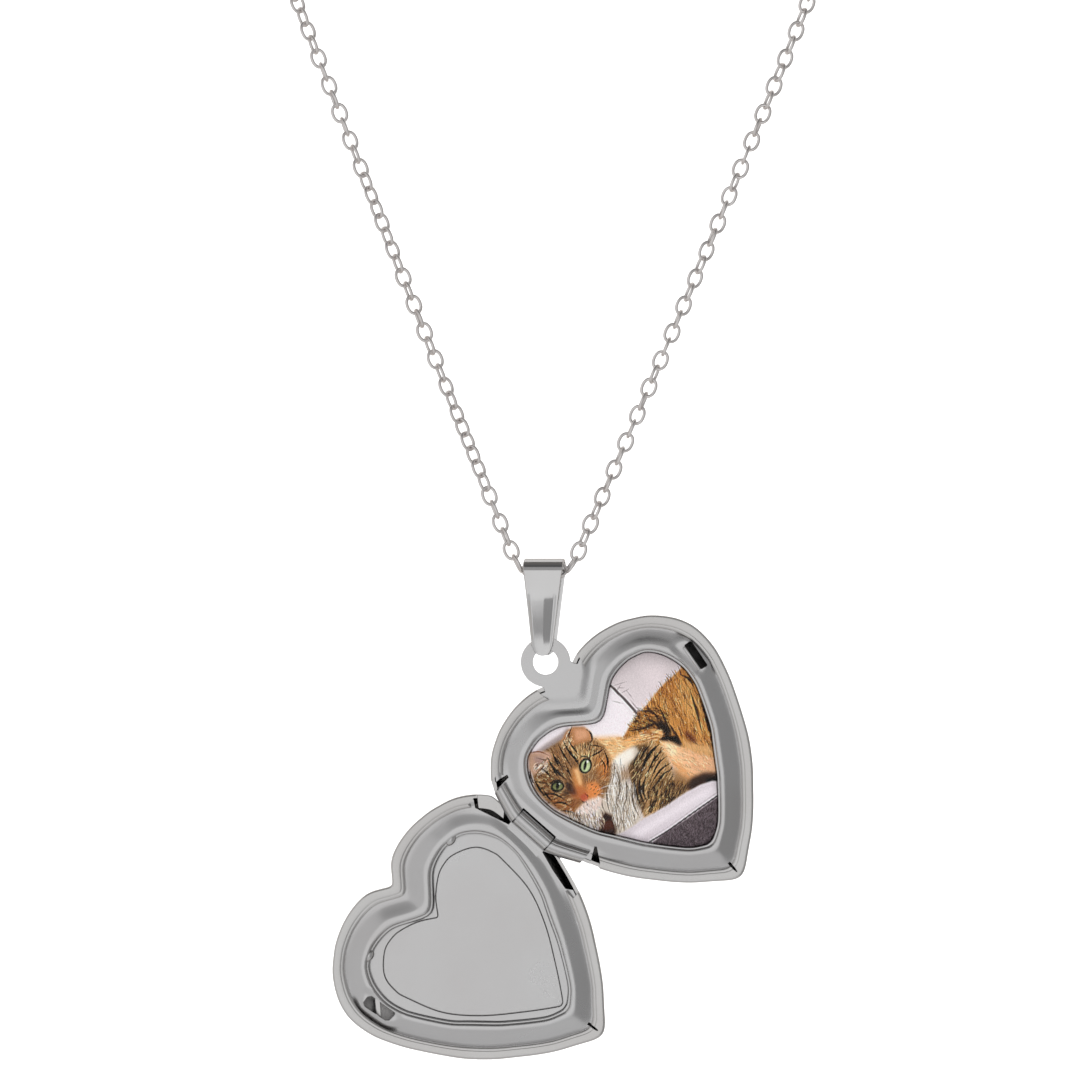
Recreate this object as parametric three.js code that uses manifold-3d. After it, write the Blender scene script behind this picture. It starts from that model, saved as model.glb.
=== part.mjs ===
// Heart locket on a fine cable chain, open flat, hanging from its bail.
// Millimetres. +Z is up, -Y is the side that shows the open inside of both halves.
// The origin is where the two ends of the chain are held, above the locket.
import * as THREE from 'three';
import { mergeVertices } from 'three/addons/utils/BufferGeometryUtils.js';
import Module from 'manifold-3d';
const wasm = await Module(); wasm.setup();

// ---------------------------------------------------------------- driving dimensions
const PART_Y = -0.55;            // Y of the parting plane between the closed halves
const TILT = 42;                 // degrees, back half turned about Y from hanging tip-down
const BACK_TIP = [17.818, -92.536];   // X, Z of the back half's point
const HINGE_U = 11.16, HINGE_V = 15.30; // a point of the hinge line in a half's own frame
const HINGE_SKEW = 6.4;          // degrees between hinge line and the heart's long axis
const HINGE_GAP = 0.12;          // each half stops this far from the pin's plane
const PIN_R = 0.34, PIN_HOLE_R = 0.42, KNUCKLE_R = 0.78;
const PIN_S = [-5.35, 4.62];
const KNUCKLE_MID = [-2.30, 1.42];      // lid knuckle, along the hinge line
const KNUCKLE_A = [-5.30, -2.42], KNUCKLE_B = [1.54, 4.58]; // back knuckles
const RING_C = [-0.15, 26.32], RING_R = 2.25, RING_HOLE_R = 1.15;
const PEG_R = 0.25;
const EYE_Z = -64.92, EYE_R = 1.10, STRAP_T = 0.30;   // bail's top loop, mid-line radius
const PEG = [0.09, -72.22];      // X, Z of the peg that carries the ring
const CHAIN_R = 0.70, CHAIN_Z = -64.72;
const N_HALF = 20;               // steps from notch to point on each side of a heart

// Heart outline and the matching points of its photo opening, from notch to point (u >= 0).
// u is across, v is up from the point.
const OUTER = [[0, 23.18], [0.73, 23.82], [1.82, 24.68], [3.09, 25.0], [4.36, 25.05], [5.64, 24.91], [7.3, 24.45],
  [8.17, 24.0], [9.17, 23.45], [9.91, 22.86], [10.77, 21.95], [11.41, 21.04], [11.91, 19.91], [12.09, 18.9],
  [12.11, 17.73], [11.96, 16.44], [11.32, 14.21], [10.55, 12.31], [9.8, 10.65], [9.05, 9.14], [8.21, 7.8],
  [7.29, 6.55], [6.19, 5.29], [5.02, 3.97], [3.65, 2.62], [2.0, 1.32], [0.73, 0.32], [0, 0]];
const OPENING = [[0, 18.7], [1.6, 19.9], [3.0, 20.95], [4.0, 21.3], [4.8, 21.4], [5.6, 21.4], [6.4, 21.2],
  [7.0, 21.0], [7.5, 20.6], [7.9, 20.1], [8.25, 19.5], [8.5, 18.85], [8.7, 18.1], [8.77, 17.5],
  [8.75, 16.8], [8.6, 15.8], [8.3, 14.9], [7.6, 13.2], [6.9, 11.75], [6.1, 10.6], [5.35, 9.5],
  [4.5, 8.25], [3.6, 7.15], [2.7, 6.1], [1.65, 5.0], [0.8, 4.45], [0.3, 4.22], [0, 4.2]];
// Loose clear window of the lid: smaller, with a sharp point.
const INSERT = [[0, 18.35], [1.4, 19.6], [3.1, 20.5], [4.3, 20.7], [5.3, 20.55], [6.6, 19.8], [7.4, 18.9], [7.75, 17.6],
  [7.7, 16.5], [6.9, 13.0], [5.1, 9.9], [2.8, 7.25], [0, 4.95]];
const CENTRE = [0, 12.9];

// ---------------------------------------------------------------- solids
function toSolid(g) {
  g = g.clone();
  g.deleteAttribute('normal'); g.deleteAttribute('uv');
  g = mergeVertices(g, 1e-4);
  const p = g.attributes.position.array, i = g.index.array;
  const tri = [];
  for (let k = 0; k < i.length; k += 3) {
    if (i[k] !== i[k + 1] && i[k + 1] !== i[k + 2] && i[k + 2] !== i[k]) tri.push(i[k], i[k + 1], i[k + 2]);
  }
  return new wasm.Manifold(new wasm.Mesh({ numProp: 3, vertProperties: Float32Array.from(p), triVerts: Uint32Array.from(tri) }));
}
function toGeometry(m) {
  const mesh = m.getMesh();
  const n = mesh.numProp, src = mesh.vertProperties, pos = new Float32Array(src.length / n * 3);
  for (let k = 0; k < src.length / n; k++) { pos[3 * k] = src[n * k]; pos[3 * k + 1] = src[n * k + 1]; pos[3 * k + 2] = src[n * k + 2]; }
  const g = new THREE.BufferGeometry();
  g.setAttribute('position', new THREE.BufferAttribute(pos, 3));
  g.setIndex(new THREE.BufferAttribute(Uint32Array.from(mesh.triVerts), 1));
  return g;
}
// Stack of equal-length closed rings, closed at both ends by a fan to a centre point.
function stack(rings, c0, c1, flip = false) {
  const n = rings[0].length, pos = [], idx = [];
  for (const r of rings) for (const p of r) pos.push(...p);
  const t = (a, b, c) => flip ? idx.push(a, c, b) : idx.push(a, b, c);
  for (let k = 0; k + 1 < rings.length; k++) for (let i = 0; i < n; i++) {
    const j = (i + 1) % n, a = k * n + i, b = k * n + j, c = a + n, d = b + n;
    t(a, b, d); t(a, d, c);
  }
  const f = pos.length / 3; pos.push(...c0); pos.push(...c1);
  const l = (rings.length - 1) * n;
  for (let i = 0; i < n; i++) { const j = (i + 1) % n; t(f, j, i); t(f + 1, l + i, l + j); }
  const g = new THREE.BufferGeometry();
  g.setAttribute('position', new THREE.Float32BufferAttribute(pos, 3));
  g.setIndex(idx);
  return g;
}
function prism(points, z0, z1, holes = []) {
  const s = new THREE.Shape(points.map(p => new THREE.Vector2(p[0], p[1])));
  for (const h of holes) s.holes.push(new THREE.Path(h.map(p => new THREE.Vector2(p[0], p[1]))));
  const g = new THREE.ExtrudeGeometry(s, { depth: z1 - z0, bevelEnabled: false });
  g.translate(0, 0, z0);
  return g;
}
function circle(cx, cy, r, n) {
  return Array.from({ length: n }, (_, i) => [cx + r * Math.cos(2 * Math.PI * i / n), cy + r * Math.sin(2 * Math.PI * i / n)]);
}
// Round bar from a to b.
function bar(a, b, r, n = 16) {
  const A = new THREE.Vector3(...a), B = new THREE.Vector3(...b), d = B.clone().sub(A), L = d.length();
  const g = new THREE.CylinderGeometry(r, r, L, n, 1);
  const q = new THREE.Quaternion().setFromUnitVectors(new THREE.Vector3(0, 1, 0), d.normalize());
  g.applyMatrix4(new THREE.Matrix4().compose(A.add(B).multiplyScalar(0.5), q, new THREE.Vector3(1, 1, 1)));
  return g;
}

// ---------------------------------------------------------------- the heart family of curves
function spline(table, k) {
  const n = table.length, i = Math.min(Math.floor(k), n - 2), f = k - i;
  const p = j => {
    if (j < 0) return [-table[-j][0], table[-j][1]];
    if (j > n - 1) return [-table[2 * n - 2 - j][0], table[2 * n - 2 - j][1]];
    return table[j];
  };
  const a = p(i - 1), b = p(i), c = p(i + 1), d = p(i + 2), out = [];
  const edge0 = i === 0, edge1 = i === n - 2;
  for (let m = 0; m < 2; m++) {
    const m0 = edge0 ? c[m] - b[m] : (c[m] - a[m]) / 2, m1 = edge1 ? c[m] - b[m] : (d[m] - b[m]) / 2;
    const f2 = f * f, f3 = f2 * f;
    out.push((2 * f3 - 3 * f2 + 1) * b[m] + (f3 - 2 * f2 + f) * m0 + (-2 * f3 + 3 * f2) * c[m] + (f3 - f2) * m1);
  }
  return out;
}
// Parameters that space the outline's points evenly along its length.
function evenly(table, steps) {
  const fine = 400, len = [0]; let last = spline(table, 0);
  for (let i = 1; i <= fine; i++) {
    const p = spline(table, i / fine * (table.length - 1));
    len.push(len[i - 1] + Math.hypot(p[0] - last[0], p[1] - last[1])); last = p;
  }
  const out = [];
  for (let s = 0; s <= steps; s++) {
    const t = len[fine] * s / steps; let i = 0;
    while (i < fine && len[i + 1] < t) i++;
    const f = len[i + 1] > len[i] ? (t - len[i]) / (len[i + 1] - len[i]) : 0;
    out.push(Math.min((i + f) / fine, 1) * (table.length - 1));
  }
  return out;
}
const K = evenly(OUTER, N_HALF);
const SK = Math.sin(HINGE_SKEW * Math.PI / 180), CK = Math.cos(HINGE_SKEW * Math.PI / 180);

// One half, in its own frame: x across, y up from the point, z out of the parting plane towards
// the viewer of the open inside. side is -1 when the hinge is at x < 0 and +1 when it is at x > 0.
function half(side) {
  const H = [side * HINGE_U, HINGE_V], hs = [-side * SK, -CK], hq = [-side * CK, SK];
  const at = (s, q, z) => [H[0] + s * hs[0] + q * hq[0], H[1] + s * hs[1] + q * hq[1], z];
  const clip = p => {
    const q = (p[0] - H[0]) * hq[0] + (p[1] - H[1]) * hq[1];
    return q >= HINGE_GAP ? p : [p[0] + (HINGE_GAP - q) * hq[0], p[1] + (HINGE_GAP - q) * hq[1]];
  };
  // t = 0 at the outline, 1 at the photo opening, 2 at the centre
  const ring = (t, z) => {
    const pts = [];
    const one = (k, s) => {
      const o = clip([s * spline(OUTER, k)[0], spline(OUTER, k)[1]]), i = spline(OPENING, k);
      const a = t <= 1 ? o : [s * i[0], i[1]], b = t <= 1 ? [s * i[0], i[1]] : CENTRE, f = t <= 1 ? t : t - 1;
      pts.push([a[0] + f * (b[0] - a[0]), a[1] + f * (b[1] - a[1]), z]);
    };
    for (let j = 0; j <= N_HALF; j++) one(K[j], 1);
    for (let j = N_HALF - 1; j > 0; j--) one(K[j], -1);
    return pts;
  };
  const shell = (profile, z0, z1) => toSolid(stack(profile.map(([t, z]) => ring(t, z)), [...CENTRE, z0], [...CENTRE, z1]));
  const boxSQ = (s0, s1, q0, q1, z0, z1) => toSolid(prism([at(s0, q0), at(s1, q0), at(s1, q1), at(s0, q1)].map(p => [p[0], p[1]]), z0, z1));
  const rod = (s0, s1, r, n) => toSolid(bar(at(s0, 0, 0), at(s1, 0, 0), r, n));
  const box = (x0, x1, y0, y1, z0, z1) => toSolid(prism([[x0, y0], [x1, y0], [x1, y1], [x0, y1]], z0, z1));
  return { at, ring, shell, boxSQ, rod, box, side };
}

// Domed outer cover: inner skin, rim folded inwards over the tray, outer skin.
const COVER = [[1.6, -2.88], [1.0, -2.72], [0.6, -2.42], [0.32, -1.95], [0.15, -1.3], [0.09, -0.75], [0.09, -0.35],
  [0.30, -0.35], [0.30, -0.05], [0.06, -0.05], [0.0, -0.18], [0.0, -0.75], [0.05, -1.35], [0.2, -2.1], [0.5, -2.7],
  [0.95, -3.05], [1.6, -3.2]];
// Pressed inner tray: photo floor, wall, round bezel, channel, edge under the fold, and its underside.
const TRAY = [[1.03, -1.25], [0.97, -1.05], [0.90, -0.55], [0.83, -0.25], [0.75, -0.18], [0.66, -0.24], [0.58, -0.52],
  [0.51, -0.80], [0.43, -0.86], [0.36, -0.66], [0.31, -0.44], [0.12, -0.42],
  [0.12, -0.70], [0.28, -0.73], [0.35, -0.98], [0.43, -1.14], [0.53, -1.08], [0.61, -0.80], [0.68, -0.51], [0.75, -0.46],
  [0.81, -0.58], [0.88, -1.15], [0.94, -1.53]];

const B = half(-1), L = half(1);

// ---------------------------------------------------------------- back half
function neck(h) {
  // ring tab: a flat eye on a short neck, one sheet with the tray
  const a0 = -0.42, a1 = -0.70;
  const pts = [[-2.3, 21.9], [2.3, 21.9], [2.3, 23.9], [1.72, 24.5], [1.32, 25.0], [-1.62, 25.0], [-1.95, 24.5], [-2.3, 23.9]];
  const plate = toSolid(prism(pts, a1, a0));
  const eye = toSolid(prism(circle(RING_C[0], RING_C[1], RING_R, 28), a1, a0));
  const hole = toSolid(prism(circle(RING_C[0], RING_C[1], RING_HOLE_R, 20), -2, 2));
  return plate.add(eye).subtract(hole);
}
let backFrame = B.shell(TRAY, -1.25, -1.53).add(neck(B));
// notch for the lid's knuckle, and room at the ends of the knuckles
backFrame = backFrame.subtract(B.boxSQ(KNUCKLE_MID[0] - 0.12, KNUCKLE_MID[1] + 0.12, -1.2, 1.0, -2, 2));
for (const k of [KNUCKLE_A, KNUCKLE_B]) {
  backFrame = backFrame.subtract(B.rod(k[0] - 0.02, k[1] + 0.02, KNUCKLE_R - 0.1, 16))
    .add(B.rod(k[0], k[1], KNUCKLE_R, 16)).add(B.boxSQ(k[0], k[1], 0.0, 1.75, -0.78, -0.45));
}
backFrame = backFrame.subtract(B.rod(PIN_S[0] - 2, PIN_S[1] + 2, PIN_HOLE_R, 12));
// catch: a slot with its tongue bent up along the inner side
backFrame = backFrame.subtract(B.box(10.06, 10.85, 16.5, 19.05, -3, 1))
  .add(B.box(9.78, 10.04, 16.75, 18.95, -1.2, 1.12));
let backCover = B.shell(COVER, -2.92, -3.24);
backCover = backCover.subtract(B.box(-2.42, 2.42, 21.0, 27.0, -0.80, 1))
  .subtract(B.boxSQ(-6.2, 5.5, -1.5, 1.7, -0.88, 1)).subtract(B.rod(-5.6, 4.9, 0.92, 16));

// ---------------------------------------------------------------- lid
let frontFrame = L.shell(TRAY, -1.25, -1.53);
// edge cut back on both sides of the lid's knuckle
const wedge = pts => toSolid(prism(pts, -2, 2));
const P2 = (s, q) => L.at(s, q, 0).slice(0, 2);
frontFrame = frontFrame.subtract(wedge([P2(-2.42, -1), P2(-2.42, 1.1), P2(-5.7, 2.0), P2(-6.6, 1.3), P2(-6.6, -1)]))
  .subtract(wedge([P2(1.54, 0.95), P2(1.54, -1), P2(6.4, -1), P2(6.4, 1.2), P2(5.2, 1.75)]));
frontFrame = frontFrame.add(L.boxSQ(KNUCKLE_MID[0], KNUCKLE_MID[1], 0.0, 1.75, -0.78, -0.45))
  .add(L.rod(KNUCKLE_MID[0], KNUCKLE_MID[1], KNUCKLE_R, 16)).subtract(L.rod(-8, 8, PIN_HOLE_R, 12));
// catch slot
frontFrame = frontFrame.subtract(L.box(-10.70, -9.62, 16.45, 19.35, -3, 1));
// two nibs that keep the window in its recess
for (const sgn of [1, -1]) {
  const o = spline(OUTER, 6), i = spline(OPENING, 6), f = 0.93;
  const g = new THREE.IcosahedronGeometry(0.42, 1);
  g.translate(sgn * (o[0] + f * (i[0] - o[0])), o[1] + f * (i[1] - o[1]), -0.62);
  frontFrame = frontFrame.add(toSolid(g));
}
let frontCover = L.shell(COVER, -2.92, -3.24);
frontCover = frontCover.subtract(L.boxSQ(-6.4, 6.4, -1.5, 1.9, -0.88, 1)).subtract(L.rod(-5.6, 4.9, 0.92, 16));

// ---------------------------------------------------------------- photo pieces
function heartPlate(h, t, z0, z1) {
  return toGeometry(toSolid(stack([h.ring(t, z1), h.ring(t, z0)], [...CENTRE, z1], [...CENTRE, z0])));
}
function tablePlate(table, steps, z0, z1) {
  const r = [], n = table.length - 1;
  for (let j = 0; j <= steps; j++) { const p = spline(table, j / steps * n); r.push(p); }
  for (let j = steps - 1; j > 0; j--) { const p = spline(table, j / steps * n); r.push([-p[0], p[1]]); }
  const up = r.map(p => [p[0], p[1], z1]), dn = r.map(p => [p[0], p[1], z0]);
  return toGeometry(toSolid(stack([up, dn], [0, 13, z1], [0, 13, z0])));
}
const backPrint = heartPlate(B, 1.03, -1.20, -1.08);
const backWindow = heartPlate(B, 1.03, -1.03, -0.88);
const frontWindow = tablePlate(INSERT, 18, -1.19, -0.99);
const hingePin = bar(B.at(PIN_S[0], 0, 0), B.at(PIN_S[1], 0, 0), PIN_R, 12);

// ---------------------------------------------------------------- bail: one strap folded over the chain
function bail() {
  // stations: [y, z, centre x, width, outward direction angle]
  const st = [];
  const legTop = EYE_Z, legBottom = -72.50;
  const leg = (f, sgn) => {               // f 0 at the top, 1 at the bottom
    const y = sgn * (EYE_R + f * (0.48 - EYE_R)), z = legTop + f * (legBottom - legTop);
    const w = 3.50 + (1.55 - 3.50) * Math.pow(f, 0.93);
    const cx = sgn < 0 ? -0.17 - 0.05 * f : 0.17 - 0.05 * f;
    return [y, z, cx + (0.09 - cx) * Math.max(0, f - 0.7) / 0.3 * 0.6, w];
  };
  const a = Math.atan2(EYE_R - 0.48, legTop - legBottom);
  for (const f of [1, 0.94, 0.75, 0.5, 0.25, 0]) { const p = leg(f, -1); p[3] *= f === 1 ? 0.6 : 1; st.push([...p, Math.PI + a]); }
  for (const d of [150, 120, 90, 60, 30]) {
    const r = d * Math.PI / 180;
    st.push([EYE_R * Math.cos(r), EYE_Z + EYE_R * Math.sin(r), 0.17 * Math.cos(r), 3.62, r]);
  }
  for (const f of [0, 0.25, 0.5, 0.75, 0.94, 1]) { const p = leg(f, 1); p[3] *= f === 1 ? 0.6 : 1; st.push([...p, -a]); }
  const t = STRAP_T / 2;
  const rings = st.map(([y, z, cx, w, r]) => {
    const ny = Math.cos(r) * t, nz = Math.sin(r) * t;
    return [[cx - w / 2, y + ny, z + nz], [cx + w / 2, y + ny, z + nz], [cx + w / 2, y - ny, z - nz], [cx - w / 2, y - ny, z - nz]];
  });
  const c = r => [0, 1, 2].map(m => (r[0][m] + r[1][m] + r[2][m] + r[3][m]) / 4);
  const strap = toSolid(stack(rings, c(rings[0]), c(rings[rings.length - 1])));
  return strap.add(toSolid(bar([PEG[0], -0.5, PEG[1]], [PEG[0], 0.5, PEG[1]], PEG_R, 12)));
}

// ---------------------------------------------------------------- chain
const tube = (pts, r, steps, closed = false) => {
  const s = new THREE.Shape(circle(0, 0, r, 8).map(p => new THREE.Vector2(p[0], p[1])));
  const path = new THREE.CatmullRomCurve3(pts.map(p => new THREE.Vector3(...p)), closed, 'centripetal');
  return new THREE.ExtrudeGeometry(s, { steps, extrudePath: path, bevelEnabled: false });
};
const LEFT = [[-2.300, 0, -64.44], [-2.60, 0, -63.85], [-2.96, 0, -63.08], [-3.705, 0, -61.264], [-5.573, 0, -56.536], [-8.464, 0, -49.264],
  [-11.336, 0, -41.991], [-14.164, 0, -34.718], [-16.982, 0, -27.445], [-19.782, 0, -20.173], [-22.573, 0, -12.90], [-22.851, 0, -12.173]];
const RIGHT = [[2.300, 0, -64.45], [2.66, 0, -63.95], [3.08, 0, -63.08], [3.855, 0, -61.264], [5.90, 0, -56.536], [9.009, 0, -49.264],
  [12.091, 0, -41.991], [15.136, 0, -34.718], [18.136, 0, -27.445], [21.091, 0, -20.173], [23.991, 0, -12.90], [24.277, 0, -12.173]];
const centreLinks = bar([-1.30, 0, CHAIN_Z], [1.30, 0, CHAIN_Z], CHAIN_R, 10);

// direction of each strand where it ends, and a frame (along, across, Y) there
const frameAt = pts => {
  const n = pts.length, a = new THREE.Vector3(...pts[n - 2]), b = new THREE.Vector3(...pts[n - 1]);
  return { o: b, d: b.clone().sub(a).normalize() };
};
const FL = frameAt(LEFT), FR = frameAt(RIGHT);
const alongMatrix = (f, dist) => {   // local x across, local y along the strand, local z towards -Y
  const y = f.d, z = new THREE.Vector3(0, -1, 0), x = new THREE.Vector3().crossVectors(y, z);
  return new THREE.Matrix4().makeBasis(x, y, z).setPosition(f.o.clone().addScaledVector(y, dist));
};
const torus = (R, r, n, m) => new THREE.TorusGeometry(R, r, m, n);

// clasp, in its own frame: y from the eye (0) to the nose, z its thickness
const CLASP_T = 1.5, LEVER_T = 0.62;
function claspBody() {
  const out = [[0.55, 0.75], [1.1, 1.3], [1.95, 2.2], [2.3, 3.4], [2.3, 4.6], [2.25, 5.8], [2.05, 7.0], [1.55, 8.2], [0.6, 9.15], [-0.5, 9.25],
    [-1.45, 8.6], [-2.0, 7.4], [-2.2, 6.0], [-2.2, 4.6], [-2.0, 3.2], [-1.5, 2.0], [-0.9, 1.3], [-0.55, 0.75]];
  const body = toSolid(prism(out, -CLASP_T / 2, CLASP_T / 2));
  const eye = toSolid(prism(circle(0, 0, 1.0, 18), -0.45, 0.45));
  const eyeHole = toSolid(prism(circle(0, 0, 0.55, 14), -2, 2));
  const voidIn = [[1.15, 3.9], [1.2, 6.2], [1.0, 7.3], [0.35, 8.15], [-0.35, 8.2], [-0.95, 7.6], [-1.2, 6.4], [-1.2, 5.0], [-0.9, 4.1], [-0.2, 3.7]];
  const inner = toSolid(prism(voidIn, -2, 2));
  const mouth = toSolid(prism([[0.9, 3.9], [3, 3.9], [3, 6.75], [0.9, 6.75]], -2, 2));
  const slot = toSolid(prism([[-0.15, 1.75], [3.2, 1.75], [3.2, 4.4], [-0.15, 4.4]], -0.42, 0.42));
  const pinHole = toSolid(prism(circle(1.2, 2.75, 0.30, 12), -2, 2));
  return body.add(eye).subtract(eyeHole).subtract(inner).subtract(mouth).subtract(slot).subtract(pinHole);
}
function claspLever() {
  const out = [[0.72, 2.35], [1.25, 2.2], [1.85, 2.45], [3.0, 2.7], [3.1, 3.15], [2.3, 3.55], [2.22, 6.55], [1.42, 6.55], [1.36, 3.6], [0.75, 3.2]];
  return toSolid(prism(out, -LEVER_T / 2, LEVER_T / 2)).subtract(toSolid(prism(circle(1.2, 2.75, 0.33, 12), -2, 2)));
}
const claspPin = prism(circle(1.2, 2.75, 0.25, 12), -CLASP_T / 2 + 0.02, CLASP_T / 2 - 0.02);
const claspSpring = prism([[0.02, 1.86], [1.5, 1.86], [1.5, 2.0], [0.2, 2.02], [0.2, 3.5], [0.02, 3.5]], -0.26, 0.26);

// ---------------------------------------------------------------- assembly
const steel = (color, roughness) => new THREE.MeshStandardMaterial({ color, roughness, metalness: 1 });
const mat = {
  steel: steel(0xb9babb, 0.32), polished: steel(0xc4c4c6, 0.16), chain: steel(0xbfc0c2, 0.28),
  paper: new THREE.MeshStandardMaterial({ color: 0xc9a07a, roughness: 0.5, metalness: 0 }),
  window: new THREE.MeshStandardMaterial({ color: 0xe8ecef, roughness: 0.05, metalness: 0, transparent: true, opacity: 0.35 }),
};
const mesh = (name, g, m) => {
  const geometry = g instanceof THREE.BufferGeometry ? g : toGeometry(g);
  const o = new THREE.Mesh(geometry, m); o.name = name; return o;
};
const rad = Math.PI / 180;
const root = new THREE.Group();

const placed = (x, z, u, v) => {    // group whose x axis is u, y axis is v, z axis is -Y
  const g = new THREE.Group();
  const m = new THREE.Matrix4().makeBasis(new THREE.Vector3(u[0], 0, u[1]), new THREE.Vector3(v[0], 0, v[1]), new THREE.Vector3(0, -1, 0));
  g.quaternion.setFromRotationMatrix(m); g.position.set(x, PART_Y, z);
  return g;
};
const uB = [Math.cos(TILT * rad), Math.sin(TILT * rad)], vB = [-uB[1], uB[0]];
const hDir = [SK * uB[0] - CK * vB[0], SK * uB[1] - CK * vB[1]];
const hPt = [BACK_TIP[0] - HINGE_U * uB[0] + HINGE_V * vB[0], BACK_TIP[1] - HINGE_U * uB[1] + HINGE_V * vB[1]];
const mirror = p => { const k = 2 * (p[0] * hDir[0] + p[1] * hDir[1]); return [k * hDir[0] - p[0], k * hDir[1] - p[1]]; };
const vL = mirror(vB), uR = mirror(uB), uL = [-uR[0], -uR[1]];
const tipL = mirror([BACK_TIP[0] - hPt[0], BACK_TIP[1] - hPt[1]]).map((c, i) => c + hPt[i]);

const back = placed(BACK_TIP[0], BACK_TIP[1], uB, vB);
back.add(mesh('back_cover', backCover, mat.steel), mesh('back_frame', backFrame, mat.steel),
  mesh('back_photo_print', backPrint, mat.paper), mesh('back_photo_window', backWindow, mat.window),
  mesh('hinge_pin', hingePin, mat.polished));
const front = placed(tipL[0], tipL[1], uL, vL);
front.add(mesh('front_cover', frontCover, mat.steel), mesh('front_frame', frontFrame, mat.steel),
  mesh('front_photo_window', frontWindow, mat.window));
root.add(back, front);
root.add(mesh('bail', bail(), mat.polished));
root.add(mesh('chain_centre_links', centreLinks, mat.chain));
root.add(mesh('chain_left_strand', tube(LEFT, CHAIN_R, 22), mat.chain));
root.add(mesh('chain_right_strand', tube(RIGHT, CHAIN_R, 22), mat.chain));

const RING_WIRE = 0.27, RING_MID = 1.45;
const lr = mesh('clasp_jump_ring', (() => { const g = torus(RING_MID, RING_WIRE, 20, 6); g.rotateY(Math.PI / 2); return g; })(), mat.chain);
lr.applyMatrix4(alongMatrix(FL, 0.12 + RING_WIRE + RING_MID));
const clasp = new THREE.Group();
clasp.applyMatrix4(alongMatrix(FL, 0.12 + RING_WIRE + 2 * RING_MID));
clasp.add(mesh('clasp_body', claspBody(), mat.polished), mesh('clasp_lever', claspLever(), mat.polished),
  mesh('clasp_lever_pin', claspPin, mat.polished), mesh('clasp_spring', claspSpring, mat.steel));
const er = mesh('end_ring', torus(RING_MID, RING_WIRE, 20, 6), mat.chain);
er.applyMatrix4(alongMatrix(FR, 0.12 + RING_WIRE + RING_MID));
root.add(lr, clasp, er);

export default root;
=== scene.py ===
import math
import bpy, bmesh
import numpy as np
from mathutils import Matrix, Vector


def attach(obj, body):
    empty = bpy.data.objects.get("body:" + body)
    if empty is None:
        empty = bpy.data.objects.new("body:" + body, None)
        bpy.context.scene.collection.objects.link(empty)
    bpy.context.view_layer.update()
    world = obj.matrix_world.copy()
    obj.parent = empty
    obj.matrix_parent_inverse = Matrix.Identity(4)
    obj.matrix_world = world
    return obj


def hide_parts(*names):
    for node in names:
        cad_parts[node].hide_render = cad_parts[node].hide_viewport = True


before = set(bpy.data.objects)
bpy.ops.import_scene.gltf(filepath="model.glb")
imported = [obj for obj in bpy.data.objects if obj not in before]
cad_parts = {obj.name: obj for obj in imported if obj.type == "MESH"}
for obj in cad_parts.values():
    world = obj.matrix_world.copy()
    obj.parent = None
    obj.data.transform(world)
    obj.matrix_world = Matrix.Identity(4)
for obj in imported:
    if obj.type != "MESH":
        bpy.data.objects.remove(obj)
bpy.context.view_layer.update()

MM = 0.001

# ------------------------------------------------------------------ dimensions shared with the CAD source (mm)
PART_Y = -0.55
TILT = math.radians(42)
BACK_TIP = (17.818, -92.536)
HINGE_U, HINGE_V = 11.16, 15.30
SK, CK = math.sin(math.radians(6.4)), math.cos(math.radians(6.4))
HINGE_GAP = 0.12
PIN_R, PIN_S = 0.34, (-5.35, 4.62)
KNUCKLE_MID = (-2.30, 1.42)
RING_C, RING_R, RING_HOLE_R = (-0.15, 26.32), 2.25, 1.15
EYE_Z, EYE_R, STRAP_T = -64.92, 1.10, 0.30
PEG = (0.09, -72.22)
CHAIN_Z = -64.72
OUTER = [(0, 23.18), (0.73, 23.82), (1.82, 24.68), (3.09, 25.0), (4.36, 25.05), (5.64, 24.91), (7.3, 24.45),
    (8.17, 24.0), (9.17, 23.45), (9.91, 22.86), (10.77, 21.95), (11.41, 21.04), (11.91, 19.91), (12.09, 18.9),
    (12.11, 17.73), (11.96, 16.44), (11.32, 14.21), (10.55, 12.31), (9.8, 10.65), (9.05, 9.14), (8.21, 7.8),
    (7.29, 6.55), (6.19, 5.29), (5.02, 3.97), (3.65, 2.62), (2.0, 1.32), (0.73, 0.32), (0, 0)]
OPENING = [(0, 18.7), (1.6, 19.9), (3.0, 20.95), (4.0, 21.3), (4.8, 21.4), (5.6, 21.4), (6.4, 21.2),
    (7.0, 21.0), (7.5, 20.6), (7.9, 20.1), (8.25, 19.5), (8.5, 18.85), (8.7, 18.1), (8.77, 17.5),
    (8.75, 16.8), (8.6, 15.8), (8.3, 14.9), (7.6, 13.2), (6.9, 11.75), (6.1, 10.6), (5.35, 9.5),
    (4.5, 8.25), (3.6, 7.15), (2.7, 6.1), (1.65, 5.0), (0.8, 4.45), (0.3, 4.22), (0, 4.2)]
INSERT = [(0, 18.35), (1.4, 19.6), (3.1, 20.5), (4.3, 20.7), (5.3, 20.55), (6.6, 19.8), (7.4, 18.9), (7.75, 17.6),
    (7.7, 16.5), (6.9, 13.0), (5.1, 9.9), (2.6, 6.95), (0.5, 4.75), (0, 4.45)]
CENTRE = (0.0, 12.9)
LEFT = [[-2.300, 0, -64.44], [-2.60, 0, -63.85], [-2.96, 0, -63.08], [-3.705, 0, -61.264], [-5.573, 0, -56.536], [-8.464, 0, -49.264],
    [-11.336, 0, -41.991], [-14.164, 0, -34.718], [-16.982, 0, -27.445], [-19.782, 0, -20.173], [-22.573, 0, -12.90], [-22.851, 0, -12.173]]
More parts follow.
